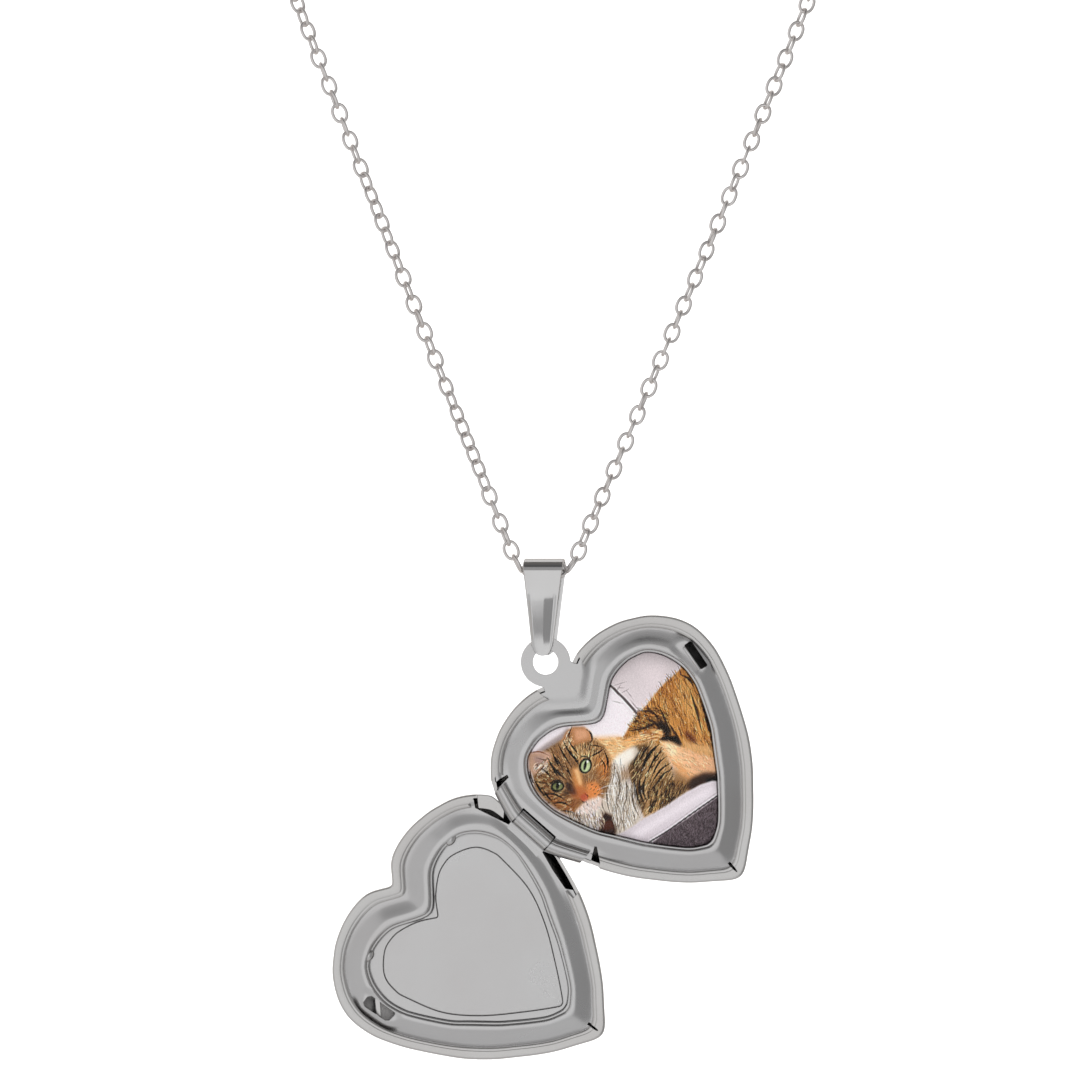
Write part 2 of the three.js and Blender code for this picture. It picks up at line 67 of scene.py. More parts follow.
RIGHT = [[2.300, 0, -64.45], [2.66, 0, -63.95], [3.08, 0, -63.08], [3.855, 0, -61.264], [5.90, 0, -56.536], [9.009, 0, -49.264],
    [12.091, 0, -41.991], [15.136, 0, -34.718], [18.136, 0, -27.445], [21.091, 0, -20.173], [23.991, 0, -12.90], [24.277, 0, -12.173]]

# ------------------------------------------------------------------ camera
cam_data = bpy.data.cameras.new("camera")
cam = bpy.data.objects.new("camera", cam_data)
bpy.context.scene.collection.objects.link(cam)
cam_data.lens = 150
cam_data.sensor_width = 36
cam_data.clip_start = 0.01
cam.location = (-0.409 * MM, -0.409, -61.99 * MM)
cam.rotation_euler = (math.radians(90), 0, 0)
bpy.context.scene.camera = cam


# ------------------------------------------------------------------ materials
def new_mat(name):
    m = bpy.data.materials.new(name)
    m.use_nodes = True
    nt = m.node_tree
    nt.nodes.clear()
    out = nt.nodes.new("ShaderNodeOutputMaterial")
    bs = nt.nodes.new("ShaderNodeBsdfPrincipled")
    nt.links.new(bs.outputs[0], out.inputs[0])
    return m, nt, bs


def metal(name, base, rough, rough_var=0.04, bump=0.02, seed=0.0, stain=0.12):
    """Tumbled stainless sheet: slow clouds in colour and roughness, with very fine marks in the surface."""
    m, nt, bs = new_mat(name)
    N, L = nt.nodes.new, nt.links.new
    tc = N("ShaderNodeTexCoord")
    mp = N("ShaderNodeMapping"); mp.inputs["Location"].default_value = (seed, seed * 1.7, seed * 0.3)
    L(tc.outputs["Object"], mp.inputs[0])
    cloud = N("ShaderNodeTexNoise"); cloud.inputs["Scale"].default_value = 150; cloud.inputs["Detail"].default_value = 2
    cloud.inputs["Roughness"].default_value = 0.4
    L(mp.outputs[0], cloud.inputs["Vector"])
    fine = N("ShaderNodeTexNoise"); fine.inputs["Scale"].default_value = 2400; fine.inputs["Detail"].default_value = 3
    L(mp.outputs[0], fine.inputs["Vector"])
    cr = N("ShaderNodeValToRGB")
    cr.color_ramp.elements[0].position = 0.28
    cr.color_ramp.elements[0].color = (base[0] * (1 - stain * 0.75), base[1] * (1 - stain * 0.85), base[2] * (1 - stain * 0.9), 1)
    cr.color_ramp.elements[1].position = 0.70
    cr.color_ramp.elements[1].color = (base[0], base[1], base[2], 1)
    mx = N("ShaderNodeMix"); mx.inputs[0].default_value = 0.14
    L(cloud.outputs[0], mx.inputs[2]); L(fine.outputs[0], mx.inputs[3])
    L(mx.outputs[0], cr.inputs[0])
    L(cr.outputs[0], bs.inputs["Base Color"])
    mr = N("ShaderNodeMapRange")
    mr.inputs["From Min"].default_value = 0.3; mr.inputs["From Max"].default_value = 0.7
    mr.inputs["To Min"].default_value = rough - rough_var; mr.inputs["To Max"].default_value = rough + rough_var
    L(mx.outputs[0], mr.inputs[0])
    L(mr.outputs[0], bs.inputs["Roughness"])
    bp = N("ShaderNodeBump"); bp.inputs["Strength"].default_value = bump; bp.inputs["Distance"].default_value = 0.00004
    L(fine.outputs[0], bp.inputs["Height"])
    L(bp.outputs[0], bs.inputs["Normal"])
    bs.inputs["Metallic"].default_value = 1.0
    return m


M_TRAY = metal("steel_tray", (0.665, 0.662, 0.665), 0.26, 0.02, 0.012, seed=0.01)
M_COVER = metal("steel_cover", (0.67, 0.662, 0.655), 0.24, 0.02, 0.015, seed=0.03)
M_BAIL = metal("steel_bail", (0.69, 0.688, 0.69), 0.13, 0.03, 0.02, seed=0.05)
# painted light: the chain's steel gets a far lighter base colour than the other steel parts, lifting the thin wire to
# the brightness it shows under the lamps
M_CHAIN = metal("steel_chain", (0.93, 0.905, 0.90), 0.30, 0.03, 0.03, seed=0.07)
M_PIN = metal("steel_pin", (0.60, 0.60, 0.61), 0.20, 0.03, 0.03, seed=0.09)
M_CLASP = metal("steel_clasp", (0.68, 0.68, 0.69), 0.16, 0.03, 0.02, seed=0.11)


# ------------------------------------------------------------------ mesh helpers (all in millimetres)
def make_obj(name, verts, faces, mat, matrix=None, smooth=True, angle=35):
    me = bpy.data.meshes.new(name)
    v = np.asarray(verts, dtype=np.float64)
    if matrix is not None:
        R = np.array(matrix.to_3x3()); t = np.array(matrix.translation)
        v = v @ R.T + t
    v = v * MM
    me.from_pydata([tuple(p) for p in v], [], faces)
    me.validate()
    bm = bmesh.new(); bm.from_mesh(me)
    bmesh.ops.remove_doubles(bm, verts=bm.verts, dist=1e-8)
    bmesh.ops.recalc_face_normals(bm, faces=bm.faces)
    bm.to_mesh(me); bm.free()
    ob = bpy.data.objects.new(name, me)
    bpy.context.scene.collection.objects.link(ob)
    if mat is not None:
        me.materials.append(mat)
    if smooth:
        me.shade_smooth()
        me.set_sharp_from_angle(angle=math.radians(angle))
    return ob


def boolean(ob, other, op, angle=35):
    md = ob.modifiers.new("b", "BOOLEAN")
    md.operation = op; md.object = other; md.solver = "EXACT"
    apply_mods(ob, angle)
    bpy.data.objects.remove(other, do_unlink=True)
    return ob


def apply_mods(ob, angle=35):
    dg = bpy.context.evaluated_depsgraph_get()
    dg.update()
    me = bpy.data.meshes.new_from_object(ob.evaluated_get(dg), depsgraph=dg)
    old = ob.data
    ob.modifiers.clear()
    ob.data = me
    me.name = ob.name
    bpy.data.meshes.remove(old)
    me.shade_smooth()
    me.set_sharp_from_angle(angle=math.radians(angle))
    return ob


def weigh(ob):
    """Normals weighted by face area, so that flat sheet stays flat next to its rounded edges."""
    ob.modifiers.new("w", "WEIGHTED_NORMAL").keep_sharp = True
    dg = bpy.context.evaluated_depsgraph_get(); dg.update()
    me = bpy.data.meshes.new_from_object(ob.evaluated_get(dg), depsgraph=dg)
    old = ob.data; ob.modifiers.clear(); ob.data = me; bpy.data.meshes.remove(old); me.name = ob.name
    return ob


def bevel(ob, width, segments=3, angle=35):
    md = ob.modifiers.new("bv", "BEVEL")
    md.width = width * MM; md.segments = segments; md.limit_method = "ANGLE"; md.angle_limit = math.radians(angle)
    md.harden_normals = False
    return apply_mods(ob, 50)


def spline(table, k):
    n = len(table)
    i = min(int(k), n - 2); f = k - i
    def p(j):
        if j < 0: return (-table[-j][0], table[-j][1])
        if j > n - 1: return (-table[2 * n - 2 - j][0], table[2 * n - 2 - j][1])
        return table[j]
    a, b, c, d = p(i - 1), p(i), p(i + 1), p(i + 2)
    out = []
    for m in range(2):
        m0 = c[m] - b[m] if i == 0 else (c[m] - a[m]) / 2
        m1 = c[m] - b[m] if i == n - 2 else (d[m] - b[m]) / 2
        f2, f3 = f * f, f * f * f
        out.append((2 * f3 - 3 * f2 + 1) * b[m] + (f3 - 2 * f2 + f) * m0 + (-2 * f3 + 3 * f2) * c[m] + (f3 - f2) * m1)
    return out


def evenly(table, steps):
    fine = 800
    pts = np.array([spline(table, i / fine * (len(table) - 1)) for i in range(fine + 1)])
    ln = np.concatenate([[0], np.cumsum(np.hypot(*(pts[1:] - pts[:-1]).T))])
    return np.interp(np.linspace(0, ln[-1], steps + 1), ln, np.arange(fine + 1) / fine * (len(table) - 1))


def catmull(ctrl, per=8, closed=False):
    """Smooth polyline through control points; a point given twice is a sharp corner."""
    runs, cur = [], [ctrl[0]]
    for a, b in zip(ctrl, ctrl[1:]):
        if a == b:
            runs.append(cur); cur = [b]
        else:
            cur.append(b)
    runs.append(cur)
    out = []
    for r in runs:
        r = [np.array(p, dtype=float) for p in r]
        if len(r) == 1:
            out.append(r[0]); continue
        e = [2 * r[0] - r[1]] + r + [2 * r[-1] - r[-2]]
        for i in range(1, len(e) - 2):
            for s in range(per):
                f = s / per
                out.append(0.5 * ((2 * e[i]) + (-e[i - 1] + e[i + 1]) * f + (2 * e[i - 1] - 5 * e[i] + 4 * e[i + 1] - e[i + 2]) * f * f
                    + (-e[i - 1] + 3 * e[i] - 3 * e[i + 1] + e[i + 2]) * f ** 3))
        out.append(r[-1])
    return out


def stack(rings, c0, c1):
    """Closed body from equal rings, closed with a fan at both ends."""
    n = len(rings[0]); v = []; f = []
    for r in rings: v += [tuple(p) for p in r]
    for k in range(len(rings) - 1):
        for i in range(n):
            j = (i + 1) % n
            f.append((k * n + i, k * n + j, (k + 1) * n + j, (k + 1) * n + i))
    a = len(v); v.append(tuple(c0)); v.append(tuple(c1)); l = (len(rings) - 1) * n
    for i in range(n):
        j = (i + 1) % n
        f.append((a, j, i)); f.append((a + 1, l + i, l + j))
    return v, f


def loft_closed(rings):
    """Rings of equal length, the last joined back to the first."""
    n = len(rings[0]); m = len(rings); v = []; f = []
    for r in rings: v += [tuple(p) for p in r]
    for k in range(m):
        for i in range(n):
            j = (i + 1) % n; q = (k + 1) % m
            f.append((k * n + i, k * n + j, q * n + j, q * n + i))
    return v, f


def prism(points, z0, z1):
    n = len(points)
    v = [(p[0], p[1], z0) for p in points] + [(p[0], p[1], z1) for p in points]
    f = [tuple(range(n - 1, -1, -1)), tuple(range(n, 2 * n))]
    f += [(i, (i + 1) % n, n + (i + 1) % n, n + i) for i in range(n)]
    return v, f


def circle(cx, cy, r, n, a0=0.0):
    return [(cx + r * math.cos(a0 + 2 * math.pi * i / n), cy + r * math.sin(a0 + 2 * math.pi * i / n)) for i in range(n)]


def tube_mesh(path, radius, n=12, closed=False, flat=None):
    """Round wire along a path of 3-D points."""
    P = np.asarray(path, dtype=float); m = len(P)
    T = (np.roll(P, -1, 0) - np.roll(P, 1, 0)) if closed else np.gradient(P, axis=0)
    T /= np.linalg.norm(T, axis=1)[:, None]
    ref = np.array([0, 0, 1.0]) if abs(T[0][2]) < 0.9 else np.array([1.0, 0, 0])
    U = np.cross(T[0], ref); U /= np.linalg.norm(U)
    rings = []
    for k in range(m):
        U = U - T[k] * (U @ T[k]); U /= np.linalg.norm(U)
        V = np.cross(T[k], U)
        r = radius[k] if hasattr(radius, "__len__") else radius
        rings.append([tuple(P[k] + r * (math.cos(a) * U + math.sin(a) * V)) for a in np.linspace(0, 2 * math.pi, n, endpoint=False)])
    if closed:
        # close the small twist that parallel transport leaves
        U0 = np.array(rings[0][0]) - P[0]
        Ue = U - T[0] * (U @ T[0]); Ue /= np.linalg.norm(Ue)
        U0 /= np.linalg.norm(U0)
        ang = math.atan2(np.cross(Ue, U0) @ T[0], Ue @ U0)
        for k in range(m):
            a = ang * k / m
            Rk = np.array(Matrix.Rotation(a, 3, Vector(T[k])))
            rings[k] = [tuple(P[k] + Rk @ (np.array(q) - P[k])) for q in rings[k]]
        return loft_closed(rings)
    return stack(rings, P[0], P[-1])


def merge_parts(parts):
    v, f = [], []
    for pv, pf in parts:
        o = len(v); v += list(pv); f += [tuple(i + o for i in q) for q in pf]
    return v, f


# ------------------------------------------------------------------ placing the two halves
uB = np.array([math.cos(TILT), math.sin(TILT)]); vB = np.array([-uB[1], uB[0]])
hDir = SK * uB - CK * vB
hPt = np.array(BACK_TIP) - HINGE_U * uB + HINGE_V * vB
mirror = lambda p: 2 * (p @ hDir) * hDir - p
vL = mirror(vB); uL = -mirror(uB)
tipL = mirror(np.array(BACK_TIP) - hPt) + hPt


def place(tip, u, v):
    m = Matrix(((u[0], v[0], 0, tip[0]), (0, 0, -1, PART_Y), (u[1], v[1], 0, tip[1]), (0, 0, 0, 1)))
    return m


MB = place(BACK_TIP, uB, vB)
ML = place(tipL, uL, vL)
NH = 150
KK = evenly(OUTER, NH)


def smooth_closed(a, passes, keep=None):
    a = a.copy()
    for _ in range(passes):
        a = 0.5 * a + 0.25 * (np.roll(a, 1, 0) + np.roll(a, -1, 0))
    return a


class Half:
    def __init__(self, side):
        self.side = side
        self.H = np.array([side * HINGE_U, HINGE_V]); self.hs = np.array([-side * SK, -CK]); self.hq = np.array([-side * CK, SK])
        o, i = [], []
        for k in KK:
            o.append(spline(OUTER, k)); i.append(spline(OPENING, k))
        for k in KK[-2:0:-1]:
            a = spline(OUTER, k); b = spline(OPENING, k); o.append([-a[0], a[1]]); i.append([-b[0], b[1]])
        o, i = np.array(o), np.array(i)
        # the real sheet turns its point and notch on small radii
        self.o = smooth_closed(o, 2); self.i = smooth_closed(i, 3)
        q = (self.o - self.H) @ self.hq
        self.o += np.clip(HINGE_GAP - q, 0, None)[:, None] * self.hq
        self.o = smooth_closed(self.o, 2)
        T = np.roll(self.o, -1, 0) - np.roll(self.o, 1, 0); T /= np.linalg.norm(T, axis=1)[:, None]
        Nn = np.column_stack([T[:, 1], -T[:, 0]])
        if ((self.o - np.array(CENTRE)) * Nn).sum() < 0: Nn = -Nn
        q = (self.o - self.H) @ self.hq
        away = np.clip((q - 0.5) / 3.0, 0, 1)
        self.o += 0.10 * away[:, None] * Nn
        self.shift = np.array([-0.30, -0.10]) if side > 0 else np.zeros(2)
        for r in (self.o, self.i):
            w = np.clip(((r - self.H) @ self.hq - 1.0) / 5.0, 0, 1)
            r += (w * w * (3 - 2 * w))[:, None] * self.shift

    def at(self, s, q):
        p = self.H + s * self.hs + q * self.hq
        return (p[0], p[1])

    def ring(self, t, z, dz=None):
        if t <= 1: p = self.o + t * (self.i - self.o)
        else: p = self.i + (t - 1) * (np.array(CENTRE) - self.i)
        zz = np.full(len(p), z) if dz is None else z + dz
        return np.column_stack([p, zz])

    def shell(self, profile, z0, z1, flat=False):
        rings = []
        for t, z in profile:
            r = self.ring(t, z)
            if flat and t < 0.88: r[:, 2] = self.flatten(r, t, z)
            rings.append(r)
        return stack(rings, (*CENTRE, z0), (*CENTRE, z1))

    def flatten(self, r, t, z):
        """Height of the tray sheet: plain at the ring tab, along the hinge and round the catch, channelled elsewhere."""
        ss = lambda a, b, x: (lambda f: f * f * (3 - 2 * f))(np.clip((x - a) / (b - a), 0, 1))
        under = z < tray_top(t) - 0.12
        drop = -0.28 if under else 0.0
        x, y = r[:, 0], r[:, 1]
        d = r[:, :2] - self.H
        s_, q_ = d @ self.hs, d @ self.hq
        zz = np.full(len(r), z)
        if self.side < 0:
            w = (1 - ss(1.7, 4.0, np.abs(x))) * ss(15.0, 17.5, y)
            target = -0.42 - 0.09 * ss(0.25, 0.52, t) + 0.28 * ss(0.56, 0.78, t) + drop
            zz = zz * (1 - w) + target * w
        k = 1.0 if self.side < 0 else 0.75
        w = (1 - ss(4.6, 8.0, np.abs(s_))) * (1 - ss(4.2, 6.0, q_)) * k
        target = -0.42 + 0.20 * ss(0.45, 0.80, t) + drop
        zz = zz * (1 - w) + target * w
        cx = 10.25 if self.side < 0 else -10.15
        dist = np.hypot(x - cx, y - np.clip(y, 16.7, 18.9))
        w = 1 - ss(0.35, 1.5, dist)
        zz = zz * (1 - w) + (-0.34 + drop) * w
        return zz

    def box_sq(self, s0, s1, q0, q1, z0, z1):
        return prism([self.at(s0, q0), self.at(s1, q0), self.at(s1, q1), self.at(s0, q1)], z0, z1)


tray_top = lambda t: np.interp(t, [0.12, 0.20, 0.30, 0.35, 0.46, 0.58, 0.70, 0.78, 0.84, 0.9], [-0.42, -0.46, -0.68, -0.68, -0.61, -0.465, -0.29, -0.22, -0.205, -0.25])
HB, HL = Half(-1), Half(1)

COVER = catmull([(1.9, -2.91), (1.6, -2.88), (1.3, -2.82), (1.0, -2.72), (0.8, -2.6), (0.6, -2.42), (0.45, -2.22), (0.32, -1.95), (0.22, -1.65), (0.15, -1.3),
    (0.105, -0.95), (0.09, -0.70), (0.09, -0.40), (0.09, -0.40), (0.295, -0.40), (0.314, -0.37), (0.320, -0.31), (0.317, -0.235), (0.305, -0.180),
    (0.285, -0.148), (0.260, -0.134), (0.240, -0.126), (0.232, -0.130), (0.222, -0.108), (0.19, -0.090), (0.15, -0.078), (0.11, -0.070), (0.07, -0.066),
    (0.038, -0.078), (0.015, -0.115), (0.003, -0.20), (0.0, -0.40), (0.0, -0.75), (0.018, -1.05), (0.05, -1.36), (0.11, -1.75), (0.2, -2.12), (0.32, -2.43), (0.5, -2.71),
    (0.7, -2.91), (0.95, -3.05), (1.25, -3.14), (1.6, -3.2), (1.9, -3.235)], 3)
TRAY = catmull([(1.06, -1.25), (1.012, -1.245), (0.995, -1.20), (0.99, -1.12), (0.986, -0.80), (0.982, -0.60), (0.972, -0.545), (0.945, -0.535), (0.926, -0.50), (0.918, -0.36),
    (0.908, -0.262), (0.885, -0.222), (0.85, -0.205), (0.80, -0.208), (0.75, -0.235), (0.70, -0.29), (0.64, -0.375), (0.58, -0.465), (0.52, -0.545), (0.46, -0.61), (0.40, -0.655),
    (0.35, -0.68), (0.30, -0.68), (0.265, -0.62), (0.235, -0.53), (0.20, -0.46), (0.165, -0.43), (0.125, -0.42), (0.125, -0.42), (0.125, -0.70), (0.125, -0.70),
    (0.20, -0.74), (0.25, -0.88), (0.31, -0.95), (0.38, -0.94), (0.46, -0.88), (0.54, -0.78), (0.62, -0.67), (0.70, -0.57), (0.78, -0.495),
    (0.84, -0.48), (0.872, -0.56), (0.885, -0.80), (0.905, -1.15), (0.93, -1.45), (0.965, -1.53), (1.06, -1.53)], 3)


def wedge_cut(ob, M, poly, z0=-2, z1=2):
    v, f = prism(poly, z0, z1)
    return boolean(ob, make_obj("cut", v, f, None, M), "DIFFERENCE")


def cut_mesh(ob, M, vf):
    return boolean(ob, make_obj("cut", *vf, None, M), "DIFFERENCE")


def rod(h, s0, s1, r, n=40, M=None):
    a, b = h.at(s0, 0), h.at(s1, 0)
    return tube_mesh([(a[0], a[1], 0), (b[0], b[1], 0)], r, n)


# rolled knuckle: sheet that runs out of the tray, curls under the pin and back over it
def knuckle(h, sections, end_deg=-12, r0=0.78, t=0.27, plate_q=1.9):
    """sections: list of (s, centre q, scale); the rolled strip is lofted through them."""
    prof = []
    for a in np.linspace(-90, -360 + end_deg, 90):
        r = math.radians(a); rr = r0 - 0.035 * (math.exp(-((a + 246) / 3.0) ** 2) + math.exp(-((a + 296) / 3.0) ** 2))
        prof.append((rr * math.cos(r), rr * math.sin(r)))
    ri = r0 - t
    last = math.radians(-360 + end_deg)
    prof.append(((r0 - 0.06) * math.cos(last - 0.09), (r0 - 0.06) * math.sin(last - 0.09)))
    prof.append(((ri + 0.06) * math.cos(last - 0.09), (ri + 0.06) * math.sin(last - 0.09)))
    for a in np.linspace(-360 + end_deg, -90, 30):
        r = math.radians(a); prof.append((ri * math.cos(r), ri * math.sin(r)))
    top = [(0.35, -ri + 0.01), (0.75, -ri + 0.04), (1.1, -0.45), (plate_q, -0.43)]
    bot = [(plate_q, -0.70), (1.1, -0.72), (0.7, -0.755), (0.35, -r0)]
    rings = []
    for s, qc, k in sections:
        ring = []
        for q, z in prof + top + bot:
            if (q, z) in top or (q, z) in bot:
                f = min(max(q / 1.1, 0), 1)
                qq = (qc + q * k) * (1 - f) + max(q, qc + 0.9) * f
                zz = z * k * (1 - f) + z * f
            else:
                qq = qc + q * k; zz = z * k
            p = h.at(s, qq)
            ring.append((p[0], p[1], zz))
        rings.append(ring)
    n = len(rings[0]); v = [p for r in rings for p in r]; f = []
    for k in range(len(rings) - 1):
        for i in range(n):
            j = (i + 1) % n
            f.append((k * n + i, k * n + j, (k + 1) * n + j, (k + 1) * n + i))
    f.append(tuple(range(n - 1, -1, -1))); f.append(tuple((len(rings) - 1) * n + i for i in range(n)))
    return v, f


# ------------------------------------------------------------------ back half: cover
cover_b = make_obj("back_cover_shell", *HB.shell(COVER, -2.92, -3.24), M_COVER, MB)
cut_mesh(cover_b, MB, prism([(-2.42, 21.0), (-2.05, 22.9), (-2.42, 24.2), (-2.6, 27), (2.6, 27), (2.42, 24.6), (2.25, 23.6), (2.42, 21.0)], -0.80, 1))
cut_mesh(cover_b, MB, HB.box_sq(-6.2, 5.5, -1.5, 1.9, -0.88, 1))
cut_mesh(cover_b, MB, rod(HB, -5.6, 4.9, 0.92))
# the fold's dart at the point
dart = lambda h, end=2.6: prism([(x + h.shift[0], y + h.shift[1]) for x, y in [(0.03, 0.50), (0.12, 0.62), (0.15, 1.0), (0.17, end), (-0.12, end), (-0.09, 1.0), (-0.05, 0.62)]], -1.3, 0.5)
cut_mesh(cover_b, MB, dart(HB))

# ------------------------------------------------------------------ back half: tray with ring tab, knuckles and catch tongue
tray_b = make_obj("back_tray", *HB.shell(TRAY, -1.25, -1.53, True), M_TRAY, MB)


cut_mesh(tray_b, MB, dart(HB, 1.62))


def tab_outline():
    """Ring tab: round eye with a flared neck."""
    cx, cy = RING_C
    pts = [(0.0, 22.3), (0.6, 22.6), (1.3, 23.15), (2.0, 23.6), (2.10, 24.08), (1.86, 24.30), (1.68, 24.55), (1.62, 24.78)]
    for a in np.linspace(-38, 218, 70):
        r = math.radians(a); pts.append((cx + RING_R * math.cos(r), cy + RING_R * math.sin(r)))
    pts += [(-1.86, 24.72), (-1.92, 24.5), (-2.06, 24.26), (-2.20, 24.06), (-2.0, 23.6), (-1.3, 23.15), (-0.6, 22.6)]
    return pts


tab = make_obj("tab", *prism(tab_outline(), -0.69, -0.43), M_TRAY, MB)
cut_mesh(tab, MB, prism(circle(*RING_C, RING_HOLE_R, 72), -2, 2))
bevel(tab, 0.05, 2, 50)
boolean(tray_b, tab, "UNION")
cut_mesh(tray_b, MB, HB.box_sq(KNUCKLE_MID[0] - 0.14, KNUCKLE_MID[1] + 0.14, -1.2, 0.93, -2, 2))
for nv in ([(-5.95, 0.2), (-5.80, 1.40), (-5.54, 2.20), (-5.26, 2.12), (-5.30, 1.31), (-5.35, 0.2)], [(5.75, 0.4), (5.45, 1.18), (4.72, 2.60), (4.90, 2.72), (6.05, 1.85), (6.7, 0.9)]):
    for part in (tray_b, cover_b):
        cut_mesh(part, MB, prism([HB.at(*q) for q in nv], -1.05, 1))
cut_mesh(tray_b, MB, HB.box_sq(-5.9, KNUCKLE_MID[0], -1.2, 0.75, -2, 2))
cut_mesh(tray_b, MB, HB.box_sq(KNUCKLE_MID[1], 5.2, -1.2, 0.75, -2, 2))
for sec in ([(-2.42, 0.0, 1.0), (-2.9, 0.10, 1.0), (-3.6, 0.32, 0.98), (-4.3, 0.56, 0.96), (-4.9, 0.77, 0.94), (-5.25, 0.90, 0.92)],
            [(1.54, 0.0, 1.0), (2.0, 0.14, 1.0), (2.7, 0.42, 1.0), (3.4, 0.74, 0.99), (4.1, 1.06, 0.98), (4.7, 1.34, 0.97)]):
    kn = make_obj("kn", *knuckle(HB, sec), M_TRAY, MB)
    boolean(tray_b, kn, "UNION")
# catch slot and the tongue lanced out of it
cut_mesh(tray_b, MB, prism([(9.88, 16.46), (10.00, 16.34), (10.50, 16.24), (10.62, 16.32), (10.97, 18.80), (10.88, 18.95), (10.30, 19.03), (10.18, 18.95)], -3, 1))
tongue = [(9.66, 16.50), (9.90, 16.46), (10.20, 18.92), (9.96, 18.96)]
tg = make_obj("tg", *prism(tongue, -0.9, 1.10), M_TRAY, MB)
bevel(tg, 0.06, 2, 50)
boolean(tray_b, tg, "UNION")

# ------------------------------------------------------------------ lid: cover and tray
cover_f = make_obj("lid_cover_shell", *HL.shell(COVER, -2.92, -3.24), M_COVER, ML)
cut_mesh(cover_f, ML, HL.box_sq(-6.4, 6.4, -1.5, 2.2, -0.88, 1))
cut_mesh(cover_f, ML, rod(HL, -5.6, 4.9, 0.92))
cut_mesh(cover_f, ML, dart(HL))
ss_, oo_ = (HL.o - HL.H) @ HL.hs, HL.ring(0.02, 0)[:, :2]
sel = [k for k in range(len(ss_)) if -6.5 < ss_[k] < -3.7 and ((HL.o[k] - HL.H) @ HL.hq) < 3.5]
sel.sort(key=lambda k: ss_[k])
rim_poly = [tuple(oo_[k]) for k in sel] + [tuple(HL.ring(0.36, 0)[k, :2]) for k in sel[::-1]]
rimp = make_obj("rimp", *prism(rim_poly, -1.15, -0.82), M_COVER, ML)
bevel(rimp, 0.08, 2)
boolean(cover_f, rimp, "UNION")

tray_f = make_obj("lid_tray", *HL.shell(TRAY, -1.25, -1.53, True), M_TRAY, ML)
wedge_cut(tray_f, ML, [HL.at(-2.42, -1), HL.at(-2.42, 1.1), HL.at(-5.7, 2.0), HL.at(-6.6, 1.3), HL.at(-6.6, -1)])
wedge_cut(tray_f, ML, [HL.at(1.54, 0.95), HL.at(1.54, -1), HL.at(6.4, -1), HL.at(6.4, 1.35), HL.at(5.3, 2.05), HL.at(3.3, 1.55)])
wedge_cut(tray_f, ML, [HL.at(-2.5, -1), HL.at(-2.5, 0.75), HL.at(1.6, 0.75), HL.at(1.6, -1)])
kn = make_obj("kn", *knuckle(HL, [(KNUCKLE_MID[0], 0, 1.0), (KNUCKLE_MID[1], 0, 1.0)]), M_TRAY, ML)
boolean(tray_f, kn, "UNION")
cut_mesh(tray_f, ML, dart(HL, 1.62))
bar = make_obj("bar", *prism([(-11.9, 16.75), (-11.75, 16.35), (-9.35, 18.25), (-9.55, 18.75)], -1.62, -1.30), M_COVER, ML)
cut_mesh(tray_f, ML, prism([(-10.68, 16.75), (-10.45, 16.42), (-9.84, 16.32), (-9.56, 16.38), (-9.54, 19.05), (-9.85, 19.32), (-10.50, 19.32), (-10.72, 19.0)], -3, 1))
bevel(bar, 0.08, 2)
boolean(cover_f, bar, "UNION")
for sgn in (1, -1):
    o, i, f = spline(OUTER, 6), spline(OPENING, 6), 0.93
    c = (sgn * (o[0] + f * (i[0] - o[0])), o[1] + f * (i[1] - o[1]))
    bm = bmesh.new(); bmesh.ops.create_icosphere(bm, subdivisions=3, radius=1)
    c = (c[0] + HL.shift[0], c[1] + HL.shift[1])
    v = [(c[0] + p.co.x * 0.62, c[1] + p.co.y * 0.42, -0.66 + p.co.z * 0.40) for p in bm.verts]
    f = [tuple(q.index for q in p.verts) for p in bm.faces]; bm.free()
    nib = make_obj("nib", v, f, M_TRAY, ML)
    boolean(tray_f, nib, "UNION")

# ------------------------------------------------------------------ hinge pin
a, b = HB.at(-3.9, 0), HB.at(3.1, 0)
pin = make_obj("hinge_pin_wire", *tube_mesh([(a[0], a[1], 0), (b[0], b[1], 0)], PIN_R, 32), M_PIN, MB)
bevel(pin, 0.08, 3)

# ------------------------------------------------------------------ lid window
def table_ring(table, steps, inset=0.0):
    r = [spline(table, j / steps * (len(table) - 1)) for j in range(steps + 1)]
    r += [[-p[0], p[1]] for p in r[-2:0:-1]]
    r = np.array(r)
    if inset:
        c = np.array([0, 13.0]); T = np.roll(r, -1, 0) - np.roll(r, 1, 0)
        T /= np.linalg.norm(T, axis=1)[:, None]
        r = r + inset * np.column_stack([-T[:, 1], T[:, 0]]) * (1 if np.cross(T[5], r[5] - c) < 0 else -1) * -1
    return r


# ------------------------------------------------------------------ chain
def path_points(ctrl, step=0.02):
    P = np.array(ctrl, dtype=float)
    e = np.vstack([2 * P[0] - P[1], P, 2 * P[-1] - P[-2]])
    out = []
    for i in range(1, len(e) - 2):
        seg = max(2, int(np.linalg.norm(e[i + 1] - e[i]) / step))
        for s in range(seg):
            f = s / seg
            out.append(0.5 * ((2 * e[i]) + (-e[i - 1] + e[i + 1]) * f + (2 * e[i - 1] - 5 * e[i] + 4 * e[i + 1] - e[i + 2]) * f * f
                + (-e[i - 1] + 3 * e[i] - 3 * e[i + 1] + e[i + 2]) * f ** 3))
    out.append(e[-2])
    out = np.array(out)
    ln = np.concatenate([[0], np.cumsum(np.linalg.norm(out[1:] - out[:-1], axis=1))])
    return out, ln


WIRE, LINK_L, LINK_W, PITCH = 0.30, 1.93, 1.52, 1.336


